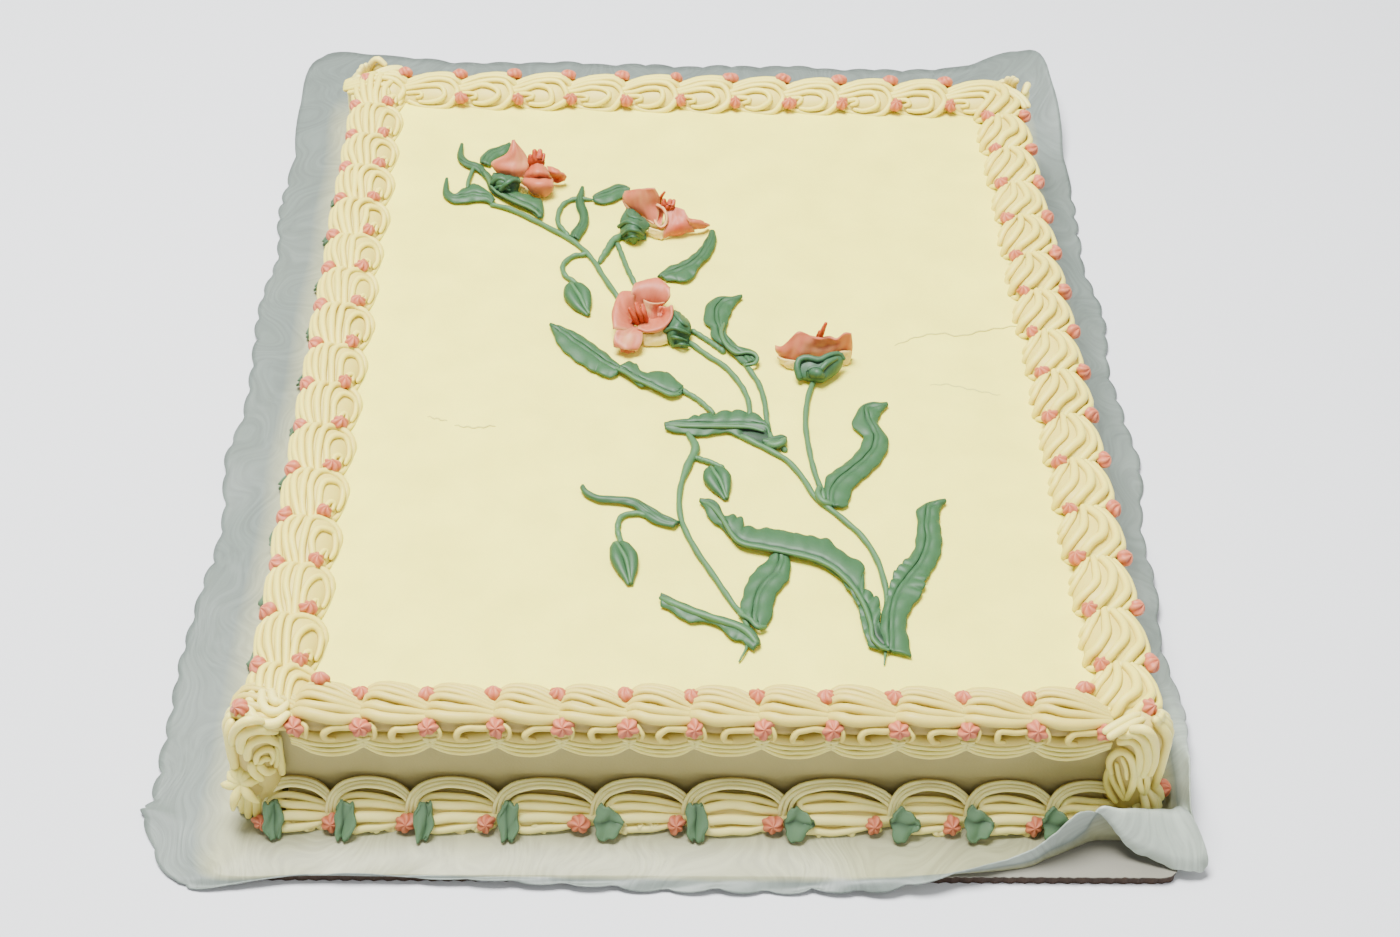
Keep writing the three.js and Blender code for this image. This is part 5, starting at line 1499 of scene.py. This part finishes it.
def leaf(name, view, *outline):
    """A leaf with a thin raised midrib and a groove beside it, darkened with painted shadow that is
    stronger on one side; scalloped where the edge is ruffled.
    """
    rng = np.random.default_rng(sum(map(ord, name)))
    out = Surfaces()
    corner, zoom = view[:2], view[2]
    net = np.array(outline, float).reshape(-1, 3, 2)
    net = seen(np.concatenate([net, np.ones((len(net), 3, 1))], 2), corner, zoom)[..., :2]
    length = np.linalg.norm(np.diff(net[:, 1], axis=0), axis=1).sum()
    rows = max(24, int(length * LEAF_ALONG))
    both = along(dense_curve(np.hstack([net[:, 1], net[:, 0], net[:, 2]]), 6), rows)
    rib, left, right = both[:, 0:2], both[:, 2:4], both[:, 4:6]
    u = np.linspace(-1, 1, 2 * LEAF_ACROSS + 1)
    v = np.linspace(0, length, rows)[:, None]
    share = v / length
    reach = np.where(u[None, :, None] < 0, (left - rib)[:, None], (right - rib)[:, None])
    width = np.linalg.norm(reach, axis=2)
    a, b, c = rng.uniform(0, 6, 3)
    stand = np.zeros((rows, len(u)))
    for which, begin, finish, tall, wide in SCALLOPS.get(name, ()):
        lobe = np.abs(np.sin(v / wide * math.pi + a)) ** 0.6
        rise = np.abs(u) ** 2 * window(share, begin, finish) * tall * (lobe - 0.25)
        stand += np.where(u * which < 0, rise, 0)
    edge = 1 + 0.035 * np.sin(v * 0.9 + b) * np.sign(u) + 0.05 * stand
    place = rib[:, None] + reach * (np.abs(u) * edge)[..., None]
    away = np.abs(u) * width
    broad = np.clip(width / 2.4, 0.15, 1)
    # Painted shadow: the groove is darker on the side where a shadow falls
    painted_shadow_side = np.where(u < 0, 1.0, 0.45)
    groove = np.exp(-(((away - 2 * RIB_WIDTH) / (0.8 * RIB_WIDTH)) ** 2)) * painted_shadow_side
    lift = (0.5 * np.exp(-((away / RIB_WIDTH) ** 2)) - 0.4 * groove) * broad
    dome = 0.55 * broad * np.sin(np.pi * np.abs(u) ** 0.9) - 0.35 * np.abs(u) ** 3
    soft = 0.14 * np.sin(v * 0.7 + c + 2 * u) * broad
    height = 1.5 + lift + dome + soft + np.clip(stand, -0.2, 3) * 0.9
    painted_shade_and_tone = 0.95 * groove * broad
    if name in LEAF_HOLLOWS:
        which, begin, finish = LEAF_HOLLOWS[name]
        bowl = window(share, begin, finish + 0.05) * np.clip(np.sin(np.pi * np.abs(u)) * 1.6, 0, 1)
        hollow = np.where(u * which < 0, bowl, 0)
        height -= 0.9 * hollow
        painted_shade_and_tone += hollow
    grid = np.concatenate([place, (CAKE_TOP + height)[..., None]], -1)
    painted_shade_and_tone = np.clip(painted_shade_and_tone, 0, 1)
    if np.cross(rib[-1] - rib[0], (left - right).mean(0)) < 0:
        grid, painted_shade_and_tone = grid[:, ::-1], painted_shade_and_tone[:, ::-1]
    sheet(out, grid, 1.5 - 0.6 * np.abs(u) ** 3, painted_shade_and_tone)
    if name in LEAF_STRINGS:
        radius, *points = LEAF_STRINGS[name]
        path = along(dense_curve(seen(points, corner, zoom), 6), 10 * len(points))
        rope(out, path, (0, 0, 1), radius * taper(len(path), (0, 0.1, 0.9, 1), (0.6, 1, 1, 0.7)), slot=1)
    make_piece(name.replace("leaf", "blade"), out, (GREEN, STEM_GREEN), [name])


# Lobes of a bud, and the slit between them as a rope darkened with painted shade: how far to the side, how
# high, the radius, the painted shade
BUD_LOBES = ((-0.62, 1.3, 0.55, 0.0), (0.62, 1.1, 0.55, 0.0), (0.0, 0.4, 0.5, 1.0))
BUD_POINTS = 26


def bud(name, stations, seed):
    """A bud: two plump lobes that close to a tip, with a thin string between them and, beside it, a slit
    drawn as a rope darkened with painted shade.
    """
    rng = np.random.default_rng(seed)
    out = Surfaces()
    table = dense_curve(stations, 12)
    both = along(np.column_stack([table[:, :2], np.zeros(len(table)), table[:, 2]]), BUD_POINTS)
    middle, width = both[:, :2], both[:, 3]
    direction = unit(np.gradient(middle, axis=0))
    sideways = np.stack([-direction[:, 1], direction[:, 0]], -1)
    part = taper(BUD_POINTS, (0, 0.1, 0.35, 0.7, 1), (0.6, 0.92, 1, 0.8, 0.3))
    for offset, rise, radius, painted_shade_and_tone in BUD_LOBES:
        across = offset * width * part + rng.normal(0, 0.1)
        path = np.column_stack([middle + sideways * across[:, None], CAKE_TOP + 0.7 + rise * part])
        size = np.maximum(radius * width * (0.35 + 0.65 * part), 0.5)
        rope(out, path, (0, 0, 1), size, around=14, flat=0.9, painted_shade_and_tone=painted_shade_and_tone)
    lean = taper(BUD_POINTS, (0, 0.5, 1), (-0.3, 0.05, 0.1))
    path = np.column_stack([middle + sideways * (lean * width)[:, None], CAKE_TOP + 1.2 + 2.2 * part])
    rope(out, path, (0, 0, 1), np.maximum(0.2 * width, 0.7), slot=1)
    make_piece(name.replace("bud", "budding"), out, (GREEN, STEM_GREEN), [name])


# Points between two knots of a net, and along a rope of a flower
NET_STEPS = 6
FLOWER_ROPE_POINTS = 16
# Flowers. Nets of petals and ropes are drawn over the photograph, each from the corner of its own view,
# enlarged 7 times: across, down, height over the cake. A rope begins with its radius and painted shade.
FLOWERS = {
    "flower_1": {"corner": (480, 130), "petals": (
        (dict(seed=1, heart=(0.48, 0.6), heart_painted_shade_and_tone=-0.45, ruffle=0.3),
         ((231, 72, 19.6), (234, 69, 20), (238, 74, 19.6)),
         ((186, 165, 15), (245, 150, 16.6), (306, 150, 14.6)),
         ((84, 224, 11.6), (232, 222, 12.6), (336, 210, 11.6)),
         ((96, 268, 8.6), (220, 280, 10), (338, 268, 9)),
         ((136, 314, 5), (220, 326, 6), (306, 334, 5.4))),
        (dict(seed=2, heart=(0.0, -0.8), heart_painted_shade_and_tone=0.8, ruffle=0.5),
         ((338, 262, 8), (400, 238, 11.6), (464, 258, 9.4)),
         ((316, 306, 8), (400, 296, 12), (486, 306, 10)),
         ((306, 342, 5.6), (400, 334, 8.2), (506, 340, 6)),
         ((300, 366, 5.6), (400, 372, 9.6), (514, 382, 7)),
         ((318, 410, 3), (405, 426, 6), (514, 430, 3.6)),
         ((366, 440, 0.8), (430, 464, 1.6), (490, 452, 0.8))),
        (dict(seed=3, heart=(0.75, -0.2), heart_painted_shade_and_tone=1.0, ruffle=0.2, thickness=0.9),
         ((466, 250, 8.6), (520, 266, 9.8), (572, 298, 7), (602, 316, 5.2)),
         ((478, 288, 8.6), (526, 300, 9), (576, 314, 7), (606, 328, 4.8)),
         ((498, 328, 4.6), (536, 336, 3.6), (576, 336, 3.6), (600, 342, 3)),
         ((508, 362, 2.6), (542, 374, 2), (576, 362, 1.8), (594, 350, 1.4))),
        (dict(seed=4, slot=1, thickness=0.8, heart=(0.0, 0.0), heart_painted_shade_and_tone=1.0),
         ((284, 376, 5), (312, 396, 5), (342, 418, 4)),
         ((280, 404, 2), (304, 426, 1.8), (338, 444, 1.6)),
         ((282, 420, 0.6), (306, 440, 0.6), (340, 456, 0.6)))),
     "ropes": ((2.0, 0.85, (368, 262, 7), (358, 225, 11), (352, 185, 14)),
               (2.2, 0.85, (385, 255, 8), (384, 205, 13), (382, 152, 16.4)),
               (2.2, 0.85, (400, 255, 8), (410, 205, 13), (420, 150, 16)),
               (2.0, 0.85, (415, 258, 8), (430, 220, 11.6), (444, 178, 14)))},
    "flower_2": {"corner": (600, 175), "petals": (
        (dict(seed=6, heart=(0.25, 0.1), heart_painted_shade_and_tone=-0.25, ruffle=0.3),
         ((172, 114, 13.6), (280, 95, 17.6), (382, 94, 19.6)),
         ((162, 152, 11.6), (285, 150, 14.6), (414, 144, 15.6)),
         ((176, 202, 8.6), (290, 214, 10.4), (420, 206, 11)),
         ((228, 248, 5.6), (320, 280, 6.4), (408, 292, 7)),
         ((270, 276, 3.6), (340, 322, 3.8), (392, 348, 4.4))),
        (dict(seed=7, heart=(0.6, 0.0), heart_painted_shade_and_tone=0.7, ruffle=0.4),
         ((466, 238, 10), (530, 226, 11), (588, 244, 10.4)),
         ((472, 290, 8.6), (540, 290, 8.4), (622, 300, 8.6)),
         ((462, 350, 6), (550, 350, 6.6), (650, 344, 6)),
         ((442, 400, 3.4), (540, 396, 3.8), (660, 380, 3)),
         ((430, 440, 0.7), (530, 422, 0.7), (662, 396, 0.7))),
        (dict(seed=8, ruffle=0.2),
         ((606, 298, 9.4), (690, 316, 7.4), (768, 349, 3.4)),
         ((622, 330, 7.6), (700, 344, 6), (770, 353, 2.8)),
         ((638, 374, 2.4), (700, 378, 1.8), (756, 360, 1.2))),
        (dict(seed=9, heart=(0.5, 0.0), heart_painted_shade_and_tone=1.0, thickness=0.7, ruffle=0.1),
         ((410, 240, 9), (428, 245, 9), (446, 262, 9)),
         ((396, 290, 6.6), (418, 295, 5.6), (440, 300, 6.4)),
         ((392, 340, 5), (414, 350, 5), (432, 350, 5))),
        (dict(seed=10, slot=1, thickness=0.9),
         ((344, 366, 4.6), (392, 382, 4.6), (452, 398, 4)),
         ((338, 398, 2.4), (386, 420, 2), (442, 440, 1)),
         ((350, 416, 0.7), (400, 442, 0.6), (432, 452, 0.6)))),
     "ropes": ((1.0, 0.1, (414, 205, 9), (424, 160, 14), (452, 120, 18.6)),
               (1.9, 0.85, (436, 240, 8), (446, 210, 12), (448, 180, 14)),
               (1.9, 0.85, (462, 245, 9), (480, 215, 12), (490, 182, 14)),
               (1.8, 0.85, (480, 245, 9), (505, 215, 12), (516, 184, 13.4)),
               (0.85, -0.8, (402, 212, 11), (440, 232, 11.4), (464, 280, 10), (462, 335, 7.6),
                (432, 366, 6), (398, 348, 5.6),
                (384, 318, 5.4)),
               (0.8, -0.8, (166, 180, 10), (190, 222, 7.6), (240, 256, 5.6), (300, 290, 4.6),
                (372, 340, 4.4)))},
    "flower_3": {"corner": (615, 265), "petals": (
        (dict(seed=11, ruffle=0.25, heart=(0.0, 0.0), heart_painted_shade_and_tone=0.35),
         ((156, 296, 6), (215, 286, 6), (270, 282, 6.4), (336, 284, 7)),
         ((126, 240, 9), (206, 224, 10), (286, 218, 10.6), (366, 256, 10)),
         ((112, 196, 12), (206, 158, 13), (304, 156, 13.6), (388, 214, 12.6)),
         ((132, 146, 12.6), (222, 108, 13.8), (312, 110, 14.4), (384, 168, 13.6)),
         ((142, 134, 11.2), (226, 100, 12), (316, 102, 12.6), (386, 160, 12))),
        (dict(seed=12, ruffle=0.25, heart=(0.0, 0.0), heart_painted_shade_and_tone=0.5),
         ((158, 300, 5.4), (124, 360, 5.4), (122, 408, 5.4), (140, 448, 5.4)),
         ((140, 250, 9), (84, 318, 9), (76, 382, 8.4), (92, 456, 7.4)),
         ((136, 212, 11), (52, 250, 11.6), (30, 350, 10.6), (34, 452, 8.6)),
         ((140, 192, 10.6), (44, 204, 12), (-2, 302, 11.6), (-6, 448, 9)),
         ((142, 186, 9.4), (36, 198, 10.2), (-12, 302, 9.8), (-14, 450, 7.4))),
        (dict(seed=13, ruffle=0.25, heart=(0.0, 0.6), heart_painted_shade_and_tone=1.0),
         ((196, 330, 5.4), (240, 368, 4.6), (292, 374, 4.4), (336, 350, 4.8), (342, 300, 6.4)),
         ((162, 420, 6.4), (234, 420, 6.4), (316, 406, 7), (368, 350, 8), (372, 290, 9)),
         ((162, 440, 7.6), (230, 462, 7.6), (336, 432, 8.6), (396, 356, 10), (390, 284, 11)),
         ((166, 450, 6.4), (230, 476, 6), (342, 444, 7), (404, 358, 8.6), (396, 282, 9.6))),
        (dict(seed=14, ruffle=0.1, heart=(0.6, -0.5), heart_painted_shade_and_tone=-0.8, thickness=0.8),
         ((212, 382, 4.8), (258, 386, 4.8), (296, 368, 5)),
         ((204, 312, 8.6), (254, 314, 8.8), (300, 300, 9)),
         ((200, 242, 12), (264, 266, 12.2), (348, 262, 12.8))),
        (dict(seed=15, heart=(0.6, 0.2), heart_painted_shade_and_tone=1.0, thickness=0.7, ruffle=0.1),
         ((292, 296, 7), (330, 288, 7), (362, 296, 7.4)),
         ((288, 340, 4.6), (326, 340, 4.2), (360, 336, 5)),
         ((286, 382, 3.6), (326, 386, 3.4), (362, 372, 4))),
        (dict(seed=16, heart=(0.5, 0.0), heart_painted_shade_and_tone=-0.4, ruffle=0.3),
         ((110, 428, 5.4), (150, 438, 5.4), (188, 446, 5.4)),
         ((20, 452, 8.2), (96, 470, 7), (192, 478, 6.4)),
         ((-4, 486, 7.4), (82, 520, 6), (190, 536, 5.2)),
         ((-12, 532, 6), (70, 568, 5.4), (170, 584, 3.8)),
         ((-6, 572, 3.6), (70, 592, 4.6), (152, 602, 2.6))),
        (dict(seed=17, heart=(0.3, 0.0), heart_painted_shade_and_tone=1.0, thickness=0.8),
         ((36, 582, 3), (90, 580, 3.6), (138, 586, 2.6)),
         ((38, 612, 0.6), (90, 618, 0.6), (136, 612, 0.6))),
        (dict(seed=18, slot=1, thickness=0.9, ruffle=0.2),
         ((184, 478, 5.4), (262, 484, 5), (352, 446, 6)),
         ((194, 520, 3), (270, 530, 3), (366, 520, 3.2)),
         ((200, 562, 0.6), (282, 566, 0.6), (372, 548, 0.7)))),
     "ropes": ((1.7, 0.8, (154, 404, 6.4), (132, 356, 11), (104, 310, 14)),
               (1.8, 0.8, (186, 392, 6.6), (168, 336, 12), (148, 276, 15)),
               (1.7, 0.8, (214, 388, 6.8), (202, 336, 11.6), (194, 286, 14)),
               (1.0, 0.7, (108, 408, 6.6), (130, 376, 7.6), (152, 408, 6.4)),
               (1.0, 0.9, (150, 396, 6), (182, 384, 6.6), (226, 388, 6)))},
    "flower_4": {"corner": (765, 310), "petals": (
        (dict(seed=20, ruffle=0.35, heart=(0.55, 0.15), heart_painted_shade_and_tone=-0.4),
         ((70, 246, 7), (122, 254, 8.6), (180, 196, 13), (240, 150, 16), (310, 174, 14), (380, 200, 13),
          (450, 184, 13),
          (504, 202, 13), (560, 160, 16), (606, 166, 15.6)),
         ((76, 275, 6), (130, 286, 7.4), (186, 250, 10), (246, 220, 12), (306, 236, 11), (376, 252, 8),
          (450, 240, 8),
          (510, 236, 10), (566, 214, 11.6), (612, 220, 11)),
         ((84, 306, 4), (136, 322, 5), (190, 312, 6), (246, 302, 7.6), (306, 300, 7), (376, 296, 5.6),
          (450, 286, 5.6),
          (510, 280, 7), (566, 270, 7), (614, 270, 6.6)),
         ((100, 340, 1.4), (150, 360, 1.4), (200, 376, 1.4), (250, 370, 1.6), (310, 370, 1.6),
          (380, 360, 1.6), (450, 350, 1.6),
          (510, 340, 1.6), (568, 330, 1.6), (608, 318, 1.4))),
        (dict(seed=21, slot=1, thickness=0.9, ruffle=0.2),
         ((84, 322, 4), (140, 344, 4.4), (216, 352, 4.4)),
         ((98, 352, 1.8), (150, 384, 2), (216, 396, 2)),
         ((110, 366, 0.6), (160, 400, 0.6), (218, 414, 0.6))),
        (dict(seed=22, slot=1, thickness=0.9, ruffle=0.2),
         ((512, 296, 7), (560, 286, 7.4), (604, 288, 6.6)),
         ((520, 340, 3.6), (560, 340, 3.6), (602, 330, 3.4)),
         ((528, 376, 0.6), (562, 384, 0.6), (596, 366, 0.6)))),
     "ropes": ((1.3, 0.75, (384, 206, 10), (396, 160, 14.6), (426, 95, 19.6)),
               (1.0, 0.75, (372, 210, 10), (372, 176, 12.6), (380, 150, 14.6)))},
}
CALYXES = {
    "calyx_1": {"corner": (480, 130), "petals": (
        (dict(seed=90, ruffle=0.5, thickness=1.6, heart=(0.5, 0.2), heart_painted_shade_and_tone=0.7),
         ((96, 306, 5), (160, 316, 6.4), (226, 330, 6), (276, 340, 5)),
         ((84, 350, 4), (150, 362, 7), (220, 366, 6), (282, 376, 4)),
         ((92, 392, 1.6), (150, 410, 3.6), (216, 420, 3), (270, 420, 1.6)),
         ((110, 412, 0.6), (160, 436, 0.8), (216, 444, 0.8), (258, 438, 0.6))),),
     "ropes": ((1.3, 0.0, (86, 372, 4.4), (130, 340, 7.6), (176, 352, 7.6), (200, 400, 5)),
               (1.3, 0.0, (150, 420, 3.6), (190, 372, 7.6), (236, 352, 7.6), (276, 366, 5)),
               (1.2, 0.0, (110, 410, 2.6), (150, 396, 5), (206, 420, 4)))},
    "calyx_2": {"corner": (600, 175), "petals": (
        (dict(seed=100, ruffle=0.95, thickness=1.6, heart=(0.6, 0.3), heart_painted_shade_and_tone=0.3),
         ((190, 236, 6), (226, 250, 7), (270, 284, 6), (330, 330, 5)),
         ((150, 330, 4), (214, 320, 8), (270, 340, 7.6), (340, 366, 4)),
         ((136, 380, 3), (200, 400, 6.6), (262, 410, 6), (320, 400, 3)),
         ((170, 440, 0.6), (214, 466, 0.8), (262, 466, 0.8), (302, 440, 0.6))),),
     "ropes": ((1.09, 0.0, (134, 360, 3.6), (186, 330, 8), (240, 344, 9), (286, 372, 7)),
               (1.02, 0.0, (160, 420, 3), (210, 384, 8), (262, 392, 8), (300, 420, 4)),
               (0.95, 0.0, (194, 240, 6), (206, 286, 8.4), (262, 306, 8.6), (306, 330, 6)),
               (0.88, 0.0, (186, 450, 2), (226, 430, 5.6), (276, 446, 3.6)))},
    "calyx_3": {"corner": (615, 265), "petals": (
        (dict(seed=110, ruffle=0.95, thickness=1.6, heart=(0.5, 0.2), heart_painted_shade_and_tone=0.25),
         ((400, 316, 6), (446, 340, 6.6), (500, 380, 4.4)),
         ((392, 380, 7), (450, 400, 9), (522, 440, 4.6)),
         ((352, 450, 5.6), (420, 470, 7), (522, 500, 3.6)),
         ((330, 480, 2), (400, 520, 3.6), (510, 548, 1.6)),
         ((380, 520, 0.6), (430, 570, 0.8), (510, 584, 0.6))),),
     "ropes": ((0.95, 0.0, (402, 322, 7), (440, 370, 9.6), (478, 412, 9), (520, 440, 5)),
               (0.95, 0.0, (352, 462, 6), (410, 440, 9), (470, 462, 8), (524, 486, 4.4)),
               (0.88, 0.0, (372, 500, 3), (430, 508, 6.4), (500, 530, 3.6)),
               (0.82, 0.0, (420, 560, 1.6), (470, 556, 4), (520, 566, 1.6)))},
    "calyx_4": {"corner": (765, 310), "petals": (
        (dict(seed=120, ruffle=0.25, thickness=1.6, heart=(0.35, -0.1), heart_painted_shade_and_tone=0.7),
         ((232, 346, 6.6), (300, 330, 7.6), (380, 332, 7.6), (450, 314, 8.4), (546, 318, 7.4)),
         ((222, 400, 5), (300, 400, 6), (390, 400, 6.4), (470, 388, 7), (544, 352, 6)),
         ((226, 468, 2), (300, 470, 3.4), (390, 480, 4), (470, 448, 3.6), (528, 400, 2.6)),
         ((236, 484, 0.6), (300, 496, 0.6), (390, 500, 0.6), (460, 474, 0.6), (508, 430, 0.6))),),
     "ropes": ((1.5, 0.0, (240, 470, 3), (222, 400, 6), (244, 346, 8), (306, 334, 8.6), (376, 352, 8.2),
                (444, 318, 9),
                (520, 304, 8.4), (550, 340, 6.4)),
               (1.3, 0.0, (398, 410, 7.4), (436, 372, 8.6), (500, 340, 8.4)),
               (2.4, 0.1, (342, 440, 5.6), (372, 446, 6.2), (396, 458, 5.4)),
               (1.0, 0.3, (306, 470, 3.6), (304, 420, 6.6), (350, 400, 7.6), (404, 412, 7.4)))},
}


def refine(net):
    """A smooth dense grid through a coarse net of points."""
    rows = np.array([dense_curve(row, NET_STEPS) for row in net])
    return np.stack([dense_curve(rows[:, k], NET_STEPS) for k in range(rows.shape[1])], 1)


def drape(out, net, thickness=1.1, ruffle=0.3, seed=0, slot=0, heart=None, heart_painted_shade_and_tone=0.0):
    """A petal through a net. Its colour is darkened with painted shade along its pleat lines and is paler
    towards its rim. Heart is where the painted shade is deepest, or, with a negative amount, where the
    petal is palest.
    """
    rng = np.random.default_rng(seed)
    grid = refine(net)
    rows, columns = grid.shape[:2]
    normal = unit(np.cross(np.gradient(grid, axis=1), np.gradient(grid, axis=0)))
    v = np.linspace(0, 1, rows)[:, None]
    u = np.linspace(-1, 1, columns)[None, :]
    a, b, c = rng.uniform(0, 6, 3)
    rim = np.maximum(np.abs(u) ** 3, v**3)
    wave = np.sin(u * 6 + a) * v**2 + 0.8 * np.sin(v * 7 + b) * np.abs(u) ** 2
    wave = wave + 0.35 * np.sin(u * 13 + v * 9 + c) * rim
    line = np.sin(u * 11 + 3 * v + c)
    pleats = (0.16 * line + 0.12 * np.sin(v * 14 + 5 * u + a)) * (1 - rim)
    grid = grid + normal * (ruffle * wave + pleats)[..., None]
    grid[..., 2] = np.maximum(grid[..., 2], CAKE_TOP + 0.4)
    # Painted shade along the pleat lines, paler colour towards the rim, and at the heart painted shade,
    # turned to paler colour where the amount is negative
    painted_shade_and_tone = 0.16 * line**4 - 0.5 * rim**4
    if heart:
        painted_shade_and_tone = painted_shade_and_tone + heart_painted_shade_and_tone * np.exp(-(((v - heart[0]) / 0.33) ** 2 + ((u - heart[1]) / 0.55) ** 2))
    sheet(out, grid, thickness * (1 - 0.5 * rim), np.clip(painted_shade_and_tone, -1, 1), slot)


def flower(name, view, materials, piece, lobes):
    """Petals and ropes of icing, as drawn over the photograph."""
    out = Surfaces()
    for options, *net in view["petals"]:
        drape(out, seen(net, view["corner"]), **options)
    for radius, painted_shade_and_tone, *points in view["ropes"]:
        path = along(dense_curve(seen(points, view["corner"]), 8), FLOWER_ROPE_POINTS)
        path[:, 2] = np.maximum(path[:, 2], CAKE_TOP + 0.8)
        size = radius * taper(FLOWER_ROPE_POINTS, (0, 0.5, 1), (1, 0.95, 0.6))
        rope(out, path, (0.3, 0.3, 1), size, around=12, lobes=lobes, groove=0.3, twist=0.8, painted_shade_and_tone=painted_shade_and_tone)
    make_piece(piece, out, materials, [name])


def flower_pieces():
    for name, view in FLOWERS.items():
        flower(name, view, (PINK, BLUSH), name.replace("flower", "blossom"), 3)
    for name, view in CALYXES.items():
        flower(name, view, (SEPAL_GREEN,), name.replace("calyx", "sepals"), 0)


def spray():
    for seed, (name, points) in enumerate(STEMS.items()):
        stem(name, points, seed + 3)
    for name, outline in LEAVES.items():
        leaf(name, *outline)
    for seed, (name, stations) in enumerate(BUDS.items()):
        bud(name, stations, seed + 70)
    flower_pieces()


add_camera()
add_floor()
add_light()
cake_board()
paper()
cake_body()
for quarter, side in enumerate(SIDES):
    top_border(side, quarter)
    foot_border(side, quarter)
for name, quarter in (("front_left", 0), ("front_right", 0), ("back_right", 1), ("back_left", 2)):
    corner(name, quarter, quarter + 60)
spray()
